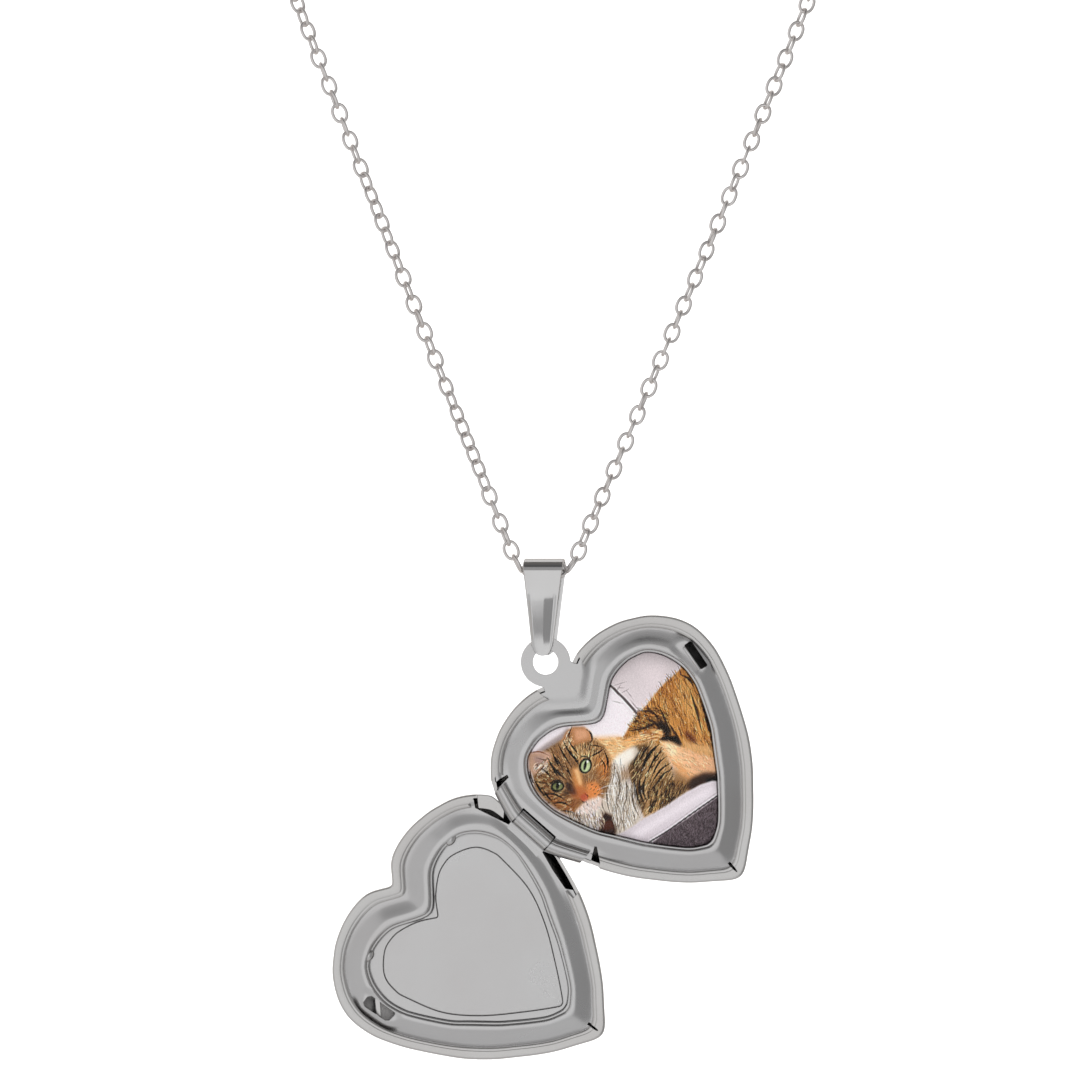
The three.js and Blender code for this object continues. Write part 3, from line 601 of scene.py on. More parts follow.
def link(centre, along, roll, seed):
    """One oval link; along is its long axis, roll turns it about that axis (0 = face to the front)."""
    rng = np.random.RandomState(seed)
    d = np.array(along) / np.linalg.norm(along)
    side = np.cross(d, [0, 1, 0]); side /= np.linalg.norm(side)
    n = np.cross(side, d)
    w = math.cos(roll) * side + math.sin(roll) * n
    a, b = (LINK_L - WIRE) / 2, (LINK_W - WIRE) / 2
    b *= 1 + rng.uniform(-0.02, 0.02)
    pts = []
    for t in np.linspace(0, 2 * math.pi, 36, endpoint=False):
        # slightly squared oval
        c, s = math.cos(t), math.sin(t)
        e = 0.90
        x = b * math.copysign(abs(c) ** e, c); y = a * math.copysign(abs(s) ** e, s)
        pts.append(np.array(centre) + x * w + y * d)
    return tube_mesh(pts, WIRE / 2, 10, closed=True)


def strand(name, ctrl, first, roll0, seed, twist):
    pts, ln = path_points(ctrl)
    total = ln[-1]
    n = int(round((total - first) / PITCH))
    pitch = (total - first) / n
    rng = np.random.RandomState(seed)
    parts = []
    roll = roll0
    for k in range(n + 1):
        s = min(first + k * pitch, total)
        c = np.array([np.interp(s, ln, pts[:, m]) for m in range(3)])
        e = np.array([np.interp(min(s + 0.5, total), ln, pts[:, m]) - np.interp(max(s - 0.5, 0), ln, pts[:, m]) for m in range(3)])
        parts.append(link(c, e, roll + rng.uniform(-0.20, 0.20), seed * 1000 + k))
        roll += math.pi / 2 + twist * math.sin(k * 0.37 + seed)
    ob = make_obj(name, *merge_parts(parts), M_CHAIN, angle=60)
    return ob, pts, total


left, lp, lt = strand("left_links", LEFT, 0.35, math.radians(80), 3, 0.10)
right, rp, rt = strand("right_links", RIGHT, 0.30, math.radians(85), 5, 0.10)
parts = []
for k, x in enumerate((-1.15, 0.0, 1.15)):
    parts.append(link((x, 0, CHAIN_Z + 0.02 - (0.10 if x == 0 else 0)), (1, 0, 0), math.radians(10 + 90 * (k % 2)), 900 + k))
mid = make_obj("links_in_bail", *merge_parts(parts), M_CHAIN, angle=60)
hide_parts("chain_left_strand"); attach(left, "chain")
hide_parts("chain_right_strand"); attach(right, "chain")
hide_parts("chain_centre_links"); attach(mid, "chain")


# ------------------------------------------------------------------ bail
def bail_mesh():
    st = []
    bottom = -72.50

    def leg(f, sgn):
        y = sgn * (EYE_R + f * (0.48 - EYE_R)); z = EYE_Z + f * (bottom - EYE_Z)
        w = 3.50 + (1.72 - 3.50) * f ** 0.95
        r = 0.80
        up = (1 - f) * (EYE_Z - bottom)
        if up < r:      # round end
            w = min(w, 2 * math.sqrt(max(r * r - (r - up) ** 2, 0.0004)) * 1.06)
        cx = (-0.17 if sgn < 0 else 0.17) - 0.05 * f
        cx = cx + (0.09 - cx) * max(0, f - 0.7) / 0.3 * (0.2 if sgn < 0 else 0.3) - (0.10 * max(0, f - 0.6) if sgn < 0 else 0)
        return y, z, cx, w

    ang = math.atan2(EYE_R - 0.48, EYE_Z - bottom)
    fs = [1, 0.997, 0.99, 0.98, 0.965, 0.95, 0.93, 0.91, 0.88, 0.84, 0.78, 0.7, 0.6, 0.5, 0.4, 0.345, 0.325, 0.31, 0.295, 0.28, 0.265, 0.25, 0.2, 0.1, 0.0]
    for f in fs: st.append((*leg(f, -1), math.pi + ang, f))
    for d in range(170, 9, -10):
        r = math.radians(d); st.append((EYE_R * math.cos(r), EYE_Z + EYE_R * math.sin(r), 0.17 * math.cos(r), 3.62, r, 0))
    for f in fs[::-1]: st.append((*leg(f, 1), -ang, f))
    t = STRAP_T / 2
    rings = []
    for y, z, cx, w, r, f in st:
        ring = []
        # section: outer face slightly dished between rounded edges, inner face flat
        dish = 0.0
        e = 0.07
        hw = w / 2
        sec = []
        front = len(rings) >= 0 and f > 0 and y < 0
        amp = min(max((f - 0.225) / 0.11, 0), 1) * min(max((0.97 - f) / 0.25, 0), 1) if front else 0.0
        for x in np.linspace(-1, 1, 49):
            edge = max(0.0, (abs(x) * hw - (hw - e)) / e) if hw > e else abs(x)
            edge = min(edge, 1)
            o = t - e * (1 - math.sqrt(max(0, 1 - edge * edge)))
            o += amp * (np.interp(x, [-0.92, -0.76, 0.10, 0.74, 0.86], [0, 0.165, 0.045, -0.085, 0]))
            sec.append((x * hw, o))
        for x in np.linspace(1, -1, 9):
            sec.append((x * hw, -t))
        ny, nz = math.cos(r), math.sin(r)
        for x, o in sec:
            ring.append((cx + x, y + ny * o, z + nz * o))
        rings.append(ring)
    c = lambda r: tuple(np.mean(np.array(r), axis=0))
    return stack(rings, c(rings[0]), c(rings[-1]))


bail = make_obj("bail_strap", *bail_mesh(), M_BAIL, angle=40)
peg = make_obj("peg", *tube_mesh([(PEG[0], -0.52, PEG[1]), (PEG[0], 0.52, PEG[1])], 0.25, 24), M_BAIL)
boolean(bail, peg, "UNION", 40)
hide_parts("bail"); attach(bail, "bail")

# ------------------------------------------------------------------ the little print: a tabby cat lying on a pale sofa, painted with shapes and hair strokes
# picture units: 11 to the millimetre, measured in the front view from the left and from the top
PX0, PY0, PX1, PY1, PS = 518, 642, 726, 856, 5
PW, PH = (PX1 - PX0) * PS, (PY1 - PY0) * PS
canvas = np.zeros((PH, PW, 3))
rngp = np.random.RandomState(11)


def soften(m, r):
    if r <= 0: return m
    n = max(1, int(r * 3)); k = np.exp(-0.5 * (np.arange(-n, n + 1) / r) ** 2); k /= k.sum()
    m = np.apply_along_axis(lambda a: np.convolve(a, k, "same"), 0, m)
    return np.apply_along_axis(lambda a: np.convolve(a, k, "same"), 1, m)


def inside(points, X, Y):
    r = np.zeros(X.shape, bool); n = len(points)
    for i in range(n):
        (x0, y0), (x1, y1) = points[i], points[(i + 1) % n]
        if y0 == y1: continue
        r ^= ((y0 > Y) != (y1 > Y)) & (X < (x1 - x0) * (Y - y0) / (y1 - y0) + x0)
    return r


def shape(points, colour, soft=0.6, alpha=1.0, colour2=None, axis=(0, 1)):
    pts = [((x - PX0) * PS, (y - PY0) * PS) for x, y in points]
    pad = int(soft * PS * 3) + 3
    xs = [q[0] for q in pts]; ys = [q[1] for q in pts]
    a, b = max(0, int(min(xs)) - pad), min(PW, int(max(xs)) + pad)
    c, d = max(0, int(min(ys)) - pad), min(PH, int(max(ys)) + pad)
    X, Y = np.meshgrid(np.arange(a, b) + 0.5, np.arange(c, d) + 0.5)
    m = soften(inside(pts, X, Y).astype(float), soft * PS) * alpha
    col = np.array(colour, float) / 255
    if colour2 is not None:
        f = (X - min(xs)) / (max(xs) - min(xs) + 1e-6) * axis[0] + (Y - min(ys)) / (max(ys) - min(ys) + 1e-6) * axis[1]
        f = np.clip(f, 0, 1)[..., None]
        col = col * (1 - f) + np.array(colour2, float) / 255 * f
    canvas[c:d, a:b] = canvas[c:d, a:b] * (1 - m[..., None]) + col * m[..., None]


def oval(cx, cy, rx, ry, rot=0, n=28):
    c, s_ = math.cos(math.radians(rot)), math.sin(math.radians(rot))
    return [(cx + rx * math.cos(t) * c - ry * math.sin(t) * s_, cy + rx * math.cos(t) * s_ + ry * math.sin(t) * c) for t in np.linspace(0, 2 * math.pi, n, endpoint=False)]


def hair(points, width, colour, alpha=1.0, taper=True):
    """A tapered stroke through the given points."""
    P = np.array([((x - PX0) * PS, (y - PY0) * PS) for x, y in points], float)
    if len(P) > 2:
        e = np.vstack([2 * P[0] - P[1], P, 2 * P[-1] - P[-2]]); out = []
        for i in range(1, len(e) - 2):
            for f in (0, 0.25, 0.5, 0.75):
                out.append(0.5 * (2 * e[i] + (e[i + 1] - e[i - 1]) * f + (2 * e[i - 1] - 5 * e[i] + 4 * e[i + 1] - e[i + 2]) * f * f
                    + (3 * e[i] - e[i - 1] - 3 * e[i + 1] + e[i + 2]) * f ** 3))
        P = np.array(out + [e[-2]])
    w = width * PS / 2
    a, b = int(max(0, P[:, 0].min() - w - 3)), int(min(PW, P[:, 0].max() + w + 3))
    c, d = int(max(0, P[:, 1].min() - w - 3)), int(min(PH, P[:, 1].max() + w + 3))
    if b <= a or d <= c: return
    X, Y = np.meshgrid(np.arange(a, b) + 0.5, np.arange(c, d) + 0.5)
    best = np.zeros(X.shape); n = len(P) - 1
    for i in range(n):
        v = P[i + 1] - P[i]; L2 = v @ v + 1e-9
        t = np.clip(((X - P[i][0]) * v[0] + (Y - P[i][1]) * v[1]) / L2, 0, 1)
        dist = np.hypot(X - P[i][0] - t * v[0], Y - P[i][1] - t * v[1])
        g_ = (i + t) / n
        ww = w * (np.clip(1.15 - np.abs(2 * g_ - 0.9), 0.12, 1) if taper else 1)
        best = np.maximum(best, np.clip((ww - dist) / 1.2 + 0.5, 0, 1))
    m = (best * alpha)[..., None]
    canvas[c:d, a:b] = canvas[c:d, a:b] * (1 - m) + np.array(colour, float) / 255 * m


def coat(region, count, flow, length, width, colours, alpha=0.55, jitter=14, seed=1):
    """Many hairs inside a region; flow gives their direction in degrees, or a point they spread from."""
    r = np.random.RandomState(seed)
    xs = [q[0] for q in region]; ys = [q[1] for q in region]
    done = 0; count = int(count * 2.1); width = width * 0.80; alpha = min(alpha * 1.15, 0.85)
    while done < count:
        x, y = r.uniform(min(xs), max(xs)), r.uniform(min(ys), max(ys))
        if not inside(region, np.array([[x]]), np.array([[y]]))[0, 0]: continue
        done += 1
        a = math.degrees(math.atan2(y - flow[1], x - flow[0])) if isinstance(flow, tuple) else flow
        a = math.radians(a + r.uniform(-jitter, jitter)); L = length * r.uniform(0.5, 1.3)
        bend = r.uniform(-0.15, 0.15)
        col = np.array(colours[r.randint(len(colours))], float) * r.uniform(0.75, 1.1)
        p0 = (x - L / 2 * math.cos(a), y - L / 2 * math.sin(a)); p2 = (x + L / 2 * math.cos(a), y + L / 2 * math.sin(a))
        p1 = (x - bend * L * math.sin(a), y + bend * L * math.cos(a))
        hair([p0, p1, p2], width * r.uniform(0.6, 1.3), np.clip(col, 0, 255), alpha * r.uniform(0.6, 1.2))


# sofa back
shape([(518, 642), (726, 642), (726, 856), (518, 856)], (214, 207, 209), 0)
shape([(600, 640), (700, 640), (690, 672), (640, 715), (608, 690)], (198, 190, 191), 3, 1, (222, 214, 216), (0, 1))
shape([(600, 680), (613, 690), (640, 720), (622, 745), (575, 745), (530, 752), (530, 730), (600, 715)], (232, 226, 229), 2)
shape([(612, 644), (640, 640), (680, 650), (672, 664), (640, 660), (616, 676)], (188, 180, 182), 4, 0.6)
shape([(640, 668), (664, 664), (668, 680), (648, 694)], (222, 213, 215), 5, 0.7)
hair([(611, 686), (624, 699), (640, 717)], 2.6, (104, 92, 92), 0.9, False)
hair([(612, 689.5), (624, 702), (638, 718)], 1.0, (238, 230, 230), 0.7, False)
for a_, b_ in (((613, 686), (629, 681)), ((616, 692), (622, 683)), ((620, 694), (631, 688)), ((612, 701), (624, 704)), ((630, 700), (640, 712)), ((626, 690), (634, 700)), ((617, 688), (625, 688))):
    hair([a_, b_], 1.0, (160, 148, 150), 0.6)
# background behind the head
shape([(536, 752), (546, 744), (560, 735), (568, 728), (575, 735), (566, 748), (552, 756)], (168, 156, 154), 1.5)
# body
body = [(683, 667), (676, 674), (666, 682), (657, 692), (648, 704), (637, 716), (630, 726), (622, 740), (640, 752), (680, 760), (722, 770), (722, 700), (700, 664)]
shape(body, (178, 124, 58), 0.8, 1, (196, 142, 78), (0.4, 0.6))
shape([(676, 680), (690, 682), (700, 705), (706, 735), (700, 742), (690, 720), (680, 700)], (214, 170, 108), 4, 0.8)
shape([(655, 700), (668, 696), (676, 715), (680, 735), (664, 730)], (206, 158, 92), 3, 0.7)
coat(body, 620, 72, 12, 0.9, [(120, 76, 28), (92, 54, 18), (222, 176, 108), (200, 150, 78), (236, 200, 144), (150, 98, 40)], 0.55, 16, 3)
coat([(640, 708), (665, 708), (670, 735), (650, 732), (628, 732)], 120, 25, 8, 1.0, [(66, 40, 14), (90, 56, 22), (180, 128, 66)], 0.7, 18, 4)
for q in ([(641, 711), (652, 712), (662, 722)], [(630, 731), (642, 729), (655, 724), (664, 728)], [(645, 719), (654, 722), (660, 729)], [(659, 706), (666, 722), (672, 736)], [(668, 722), (677, 736), (684, 748)],
          [(700, 700), (708, 722), (713, 748)], [(690, 690), (697, 712), (703, 735)], [(704, 716), (710, 730), (712, 742)], [(688, 735), (694, 742), (700, 746)], [(680, 674), (690, 680), (695, 690)]):
    hair(q, 2.6, (58, 34, 12), 0.75)
shape([(656, 720), (664, 722), (672, 730), (668, 740), (660, 736)], (44, 28, 12), 1.4, 0.9)
shape([(660, 737), (676, 736), (682, 744), (680, 750), (672, 743), (661, 741)], (22, 15, 12), 0.9, 0.95)
shape([(684, 730), (694, 736), (698, 742), (690, 744)], (112, 58, 22), 1.5, 0.8)
shape([(682, 740), (700, 744), (718, 748), (718, 758), (700, 754), (684, 750)], (222, 186, 140), 2.5, 0.8)
# arm across
arm = [(618, 738), (630, 738), (642, 733), (652, 729), (662, 730), (664, 735), (656, 741), (644, 746), (632, 750), (622, 748)]
shape(arm, (232, 184, 126), 1.0)
coat(arm, 110, -14, 8, 0.8, [(250, 220, 176), (206, 142, 78), (168, 104, 48), (244, 206, 156)], 0.65, 12, 5)
hair([(640, 735), (652, 733), (660, 735)], 1.4, (150, 92, 40), 0.7); hair([(646, 740), (656, 738), (663, 739)], 1.6, (160, 98, 46), 0.7)
# neck and shoulder
shape([(590, 738), (620, 737), (630, 745), (628, 762), (612, 768), (600, 756)], (226, 186, 136), 2.2)
coat([(592, 740), (622, 738), (628, 756), (612, 765), (602, 755)], 90, 15, 8, 0.9, [(240, 208, 164), (206, 156, 100), (250, 226, 190)], 0.5, 25, 6)
# chest and belly stripes
chest = [(632, 747), (652, 741), (662, 746), (668, 758), (672, 768), (674, 784), (668, 800), (656, 812), (644, 818), (638, 800), (632, 782), (628, 765)]
shape(chest, (176, 142, 100), 1.2)
shape([(634, 748), (650, 744), (646, 762), (640, 780), (642, 800), (646, 812), (636, 806), (631, 780), (628, 762)], (92, 66, 36), 2.0, 0.9)
shape([(650, 780), (668, 776), (690, 782), (684, 796), (668, 806), (654, 810), (648, 796)], (128, 96, 56), 2.5, 0.9)
shape([(672, 768), (690, 776), (700, 784), (690, 792), (676, 790)], (158, 120, 76), 2.0, 0.8)
coat(chest, 200, 118, 9, 0.9, [(64, 44, 20), (214, 184, 138), (40, 26, 12), (120, 88, 48), (232, 206, 162)], 0.6, 16, 7)
for q in ([(660, 744), (652, 752), (646, 762), (642, 774)], [(664, 749), (656, 757), (650, 768), (647, 778)], [(668, 756), (660, 762), (654, 772), (650, 782)], [(671, 763), (662, 769), (655, 778), (650, 788)],
          [(673, 769), (664, 774), (657, 784), (652, 793)], [(650, 745), (643, 754), (638, 766)], [(642, 748), (636, 758), (633, 770)], [(656, 746), (649, 754), (643, 766), (640, 778)]):
    hair(q, 2.1, (26, 18, 12), 0.92)
for q in ([(640, 778), (640, 792), (645, 806)], [(634, 780), (636, 794), (641, 806)], [(646, 776), (643, 790), (647, 802)]):
    hair(q, 3.0, (44, 28, 12), 0.85)
coat([(648, 786), (690, 782), (684, 798), (664, 808), (650, 812)], 150, 112, 9, 1.0, [(50, 36, 20), (190, 156, 108), (98, 70, 38), (34, 24, 14)], 0.65, 14, 8)
# hind leg
leg = [(660, 741), (672, 742), (684, 748), (700, 754), (716, 758), (722, 770), (716, 776), (704, 778), (694, 780), (682, 774), (672, 764), (664, 752)]
shape(leg, (236, 198, 158), 1.8, 1, (226, 186, 152), (1, 0))
shape([(664, 742), (674, 745), (678, 755), (670, 756)], (248, 226, 196), 1.6, 0.9)
shape([(690, 758), (712, 762), (712, 770), (694, 770)], (214, 168, 132), 3.5, 0.7)
shape([(668, 756), (678, 764), (690, 772), (700, 780), (688, 780), (676, 772)], (214, 160, 104), 2.2, 0.7)
coat(leg, 110, 28, 8, 0.8, [(250, 224, 192), (206, 160, 116), (240, 204, 164)], 0.45, 22, 9)
shape([(692, 778), (704, 773), (722, 773), (722, 786), (706, 788), (694, 792), (686, 788)], (66, 42, 26), 1.8, 0.95)
shape([(706, 779), (722, 777), (722, 786), (708, 787)], (20, 14, 12), 1.2, 0.95)
# ruff
ruff = [(612, 762), (624, 752), (636, 746), (640, 752), (630, 764), (622, 774), (630, 784), (636, 800), (642, 816), (634, 830), (612, 836), (604, 820), (596, 812), (602, 796), (606, 776)]
shape(ruff, (204, 194, 182), 1.4)
shape([(616, 756), (634, 746), (634, 758), (620, 768), (612, 764)], (240, 234, 226), 1.8, 0.9)
shape([(604, 812), (612, 816), (618, 826), (614, 838), (598, 836), (600, 824)], (60, 30, 14), 1.3, 0.95)
shape([(600, 822), (612, 820), (616, 828), (604, 832)], (110, 56, 26), 1.5, 0.8)
coat([(606, 768), (624, 764), (632, 784), (640, 812), (630, 828), (616, 830), (608, 800)], 260, 84, 13, 0.9,
     [(250, 246, 240), (164, 148, 130), (206, 196, 182), (120, 102, 84), (255, 252, 246)], 0.6, 16, 10)
for q in ([(612, 776), (607, 790), (608, 806), (612, 818)], [(618, 772), (620, 790), (614, 808)], [(626, 778), (627, 796), (622, 812)], [(632, 790), (634, 806), (640, 818)], [(604, 790), (602, 804), (606, 814)]):
    hair(q, 1.5, (98, 80, 62), 0.75)
shape([(620, 772), (630, 768), (632, 776), (624, 782)], (150, 112, 74), 2.0, 0.6)
# head
head = [(531, 768), (536, 756), (548, 749), (560, 741), (574, 737), (592, 739), (604, 746), (610, 758), (611, 774), (607, 790), (602, 801), (594, 811), (582, 817), (566, 814), (548, 803), (536, 789)]
shape(head, (146, 112, 76), 1.2)
shape([(560, 744), (592, 740), (606, 750), (606, 770), (590, 764), (574, 758)], (178, 142, 98), 3, 0.8)
shape([(596, 756), (610, 760), (608, 782), (598, 778)], (196, 132, 72), 2.5, 0.8)
shape([(536, 772), (552, 776), (556, 796), (546, 800), (536, 788)], (128, 88, 48), 2.5, 0.8)
shape([(546, 794), (572, 798), (584, 806), (576, 815), (556, 808)], (160, 104, 54), 2.2, 0.8)
coat(head, 480, (586, 796), 6.5, 0.8, [(104, 70, 36), (212, 174, 124), (76, 52, 28), (190, 142, 88), (230, 200, 156), (140, 96, 54)], 0.5, 16, 12)
coat([(538, 768), (560, 760), (574, 780), (572, 806), (548, 798), (536, 784)], 130, (586, 796), 6, 0.9, [(44, 32, 20), (66, 48, 28), (206, 176, 132)], 0.6, 20, 22)
coat([(562, 742), (590, 742), (600, 752), (580, 762), (566, 756)], 80, (586, 796), 7, 0.9, [(60, 44, 26), (226, 196, 150)], 0.5, 14, 23)
# ears
shape([(528, 753), (538, 751), (550, 752), (552, 758), (543, 768), (534, 776), (529, 770)], (196, 164, 142), 1.0)
shape([(533, 757), (542, 756), (545, 760), (537, 768)], (166, 140, 134), 1.5, 0.7)
hair([(529, 753), (540, 752), (551, 757)], 1.6, (140, 88, 40), 0.85); hair([(536, 758), (545, 760), (550, 757)], 1.2, (90, 56, 30), 0.7)
hair([(530, 770), (531, 778), (536, 787)], 2.4, (70, 42, 22), 0.85)
coat([(534, 766), (545, 760), (548, 770), (540, 776)], 30, -50, 8, 0.8, [(238, 222, 200), (120, 86, 52)], 0.7, 15, 13)
shape([(560, 744), (566, 732), (573, 727), (584, 727), (591, 732), (593, 740), (580, 744), (566, 748)], (186, 138, 96), 1.0)
shape([(574, 729), (586, 729), (589, 738), (576, 741)], (216, 172, 140), 1.6, 0.9)
hair([(572, 727), (569, 735), (569, 745)], 1.8, (74, 44, 22), 0.85); hair([(586, 729), (591, 734), (592, 741), (588, 743)], 2.0, (62, 36, 20), 0.85)
coat([(562, 744), (570, 732), (572, 744), (566, 750)], 34, -62, 8, 0.8, [(236, 206, 166), (120, 80, 44)], 0.7, 10, 14)
# forehead and cheek stripes
for q, w_ in (([(558, 744), (562, 752), (567, 760), (572, 767)], 2.2), ([(563, 741), (568, 750), (574, 758), (577, 764)], 2.4), ([(568, 740), (574, 749), (580, 757)], 2.0),
              ([(552, 752), (556, 761), (561, 770)], 2.2), ([(547, 757), (552, 766), (556, 774), (560, 779)], 2.4), ([(553, 766), (558, 773), (564, 778)], 2.2), ([(574, 755), (578, 763), (581, 771)], 1.8),
              ([(590, 757), (598, 753), (605, 748)], 2.0), ([(589, 745), (597, 746), (604, 748)], 1.6), ([(604, 750), (608, 762), (607, 774)], 2.2), ([(600, 758), (605, 766), (604, 776)], 1.6),
              ([(541, 768), (548, 774), (551, 780)], 2.0), ([(543, 796), (552, 794), (560, 797), (570, 803)], 2.4), ([(552, 804), (562, 803), (574, 808)], 2.2), ([(543, 790), (548, 797), (556, 806)], 2.0),
              ([(560, 811), (570, 812), (580, 816)], 2.0), ([(565, 763), (569, 772), (572, 780)], 1.6), ([(534, 780), (540, 790), (546, 798)], 2.4), ([(556, 758), (560, 764), (563, 771)], 1.6)):
    hair(q, w_, (36, 25, 14), 0.88)
shape([(572, 768), (579, 768), (584, 784), (590, 795), (580, 798), (572, 790)], (206, 146, 88), 1.6, 0.85)
shape([(574, 770), (578, 768), (582, 782), (580, 788)], (236, 204, 158), 1.2, 0.8)
shape([(570, 788), (580, 786), (590, 792), (588, 800), (578, 801), (570, 796)], (186, 116, 66), 1.8, 0.8)
shape([(586, 782), (598, 782), (602, 790), (598, 800), (588, 800)], (222, 150, 88), 1.8, 0.9)
for x_, y_ in ((592, 785), (596, 787), (594, 790), (598, 791), (595, 794), (600, 786), (599, 795), (591, 789)):
    hair([(x_ - 1, y_ + 0.7), (x_ + 1.2, y_ - 0.8)], 1.1, (74, 38, 16), 0.85)
shape([(566, 782), (572, 783), (577, 795), (570, 794), (564, 788)], (70, 42, 22), 1.6, 0.75)
# eyes
for (cx_, cy_, rx_, ry_, ro_, c0_) in ((585.5, 766, 5.6, 7.2, 18, (166, 178, 140)), (557.5, 786.5, 6.2, 4.6, -8, (118, 122, 80))):
    shape(oval(cx_, cy_, rx_ + 2.0, ry_ + 1.9, ro_), (196, 164, 122), 0.8, 0.7)
    shape(oval(cx_, cy_, rx_ + 0.7, ry_ + 0.8, ro_), (22, 16, 12), 0.4)
    shape(oval(cx_ + 0.2, cy_ + 0.2, rx_ - 1.0, ry_ - 1.1, ro_), c0_, 0.4)
    shape(oval(cx_ + 0.8, cy_ + 1.6, rx_ - 2.6, ry_ - 3.2, ro_), tuple(min(255, c_ + 26) for c_ in c0_), 0.7, 0.8)
shape(oval(585.2, 765.6, 1.3, 5.0, 12), (16, 14, 12), 0.4)
shape(oval(557.6, 786.2, 1.5, 3.4, 8), (16, 14, 12), 0.4)
shape(oval(587.5, 762.0, 0.9, 1.3, 0), (250, 250, 245), 0.3)
shape(oval(559.5, 784.2, 0.8, 0.7, 0), (230, 230, 220), 0.3)
hair([(579, 759), (583, 756.5), (589, 758), (592, 763)], 1.5, (20, 14, 10), 0.9)
hair([(548, 787), (553, 781.5), (560, 780.5), (566, 784)], 1.6, (20, 14, 10), 0.9)
hair([(549, 788), (556, 792.5), (564, 791)], 1.2, (24, 16, 10), 0.8)
# nose, mouth, chin
shape([(580, 796), (586, 793), (588.5, 797), (587, 802), (582, 801.5)], (190, 104, 70), 0.7)
hair([(580.5, 800), (584, 802.5), (587.5, 801)], 1.5, (60, 24, 12), 0.9); hair([(585.5, 794), (588, 796.5), (586.8, 799)], 1.0, (70, 30, 16), 0.8)
shape([(586, 801), (600, 796), (604, 800), (598, 810), (586, 816), (572, 816), (578, 808)], (226, 212, 206), 1.4, 0.95)
hair([(586.5, 802), (587.5, 805), (589, 807)], 1.0, (120, 80, 66), 0.8)
coat([(586, 804), (602, 798), (600, 810), (586, 818), (574, 818)], 60, 60, 6, 0.7, [(248, 240, 236), (190, 174, 166), (216, 202, 198)], 0.55, 25, 15)
for q in ([(598, 790), (608, 786), (618, 786)], [(598, 794), (610, 794), (620, 798)], [(597, 797), (607, 802), (615, 810)]):
    hair(q, 0.5, (244, 240, 234), 0.7)
coat([(566, 812), (590, 816), (604, 812), (604, 826), (590, 830), (572, 822)], 120, 74, 8, 0.9, [(236, 228, 218), (170, 150, 128), (110, 80, 54), (212, 196, 176)], 0.65, 14, 16)
# sofa arm in front
shape([(624, 832), (640, 822), (662, 809), (682, 795), (700, 785), (712, 781), (726, 781), (726, 860), (600, 860), (612, 838)], (216, 209, 213), 0.7, 1, (206, 198, 203), (0, 1))
shape([(630, 834), (660, 816), (690, 798), (712, 787), (720, 790), (690, 806), (655, 828), (640, 838)], (228, 222, 226), 2.5, 0.9)
shape([(650, 845), (664, 834), (690, 817), (719, 796), (730, 790), (730, 862), (640, 862)], (112, 99, 104), 0.8, 1, (86, 74, 80), (0.3, 0.7))
hair([(650, 842), (668, 831), (694, 812.5), (722, 793)], 1.5, (58, 50, 54), 0.95, False)
hair([(650, 838.5), (668, 827.5), (694, 809), (722, 789.5)], 0.9, (190, 182, 186), 0.7, False)
grain = soften(rngp.rand(PH, PW) - 0.5, 0.8)
yy, xx = np.meshgrid(np.arange(PH) / PS + PY0, np.arange(PW) / PS + PX0, indexing="ij")
low = inside([(655, 843), (664, 836), (690, 819), (719, 798), (730, 790), (730, 862), (640, 862)], xx, yy)
canvas += grain[..., None] * np.where(low, 0.55, 0.10)[..., None]
canvas = np.clip(canvas, 0, 1)
for rad, gain in ((2.0, 0.7), (6.0, 0.35)):
    blur = np.dstack([soften(canvas[..., k], rad) for k in range(3)])
    canvas = np.clip(canvas + gain * (canvas - blur), 0, 1)
canvas = np.clip(canvas, 0, 1) ** 1.22
canvas = np.clip((canvas - 0.5) * 1.10 + 0.515, 0, 1)


def picture(P):
    """Linear colour of the print at world points, in millimetres."""
    fx = ((544.5 + 11 * P[:, 0]) - PX0) * PS - 0.5; fy = ((-12.9 - P[:, 2]) * 11 - PY0) * PS - 0.5
    fx = np.clip(fx, 0, PW - 1.001); fy = np.clip(fy, 0, PH - 1.001)
    ix, iy = fx.astype(int), fy.astype(int); ax, ay = (fx - ix)[:, None], (fy - iy)[:, None]
    c = canvas[iy, ix] * (1 - ax) * (1 - ay) + canvas[iy, ix + 1] * ax * (1 - ay) + canvas[iy + 1, ix] * (1 - ax) * ay + canvas[iy + 1, ix + 1] * ax * ay
    return np.minimum(np.where(c <= 0.04045, c / 12.92, ((c + 0.055) / 1.055) ** 2.4) * 1.04, 0.95)


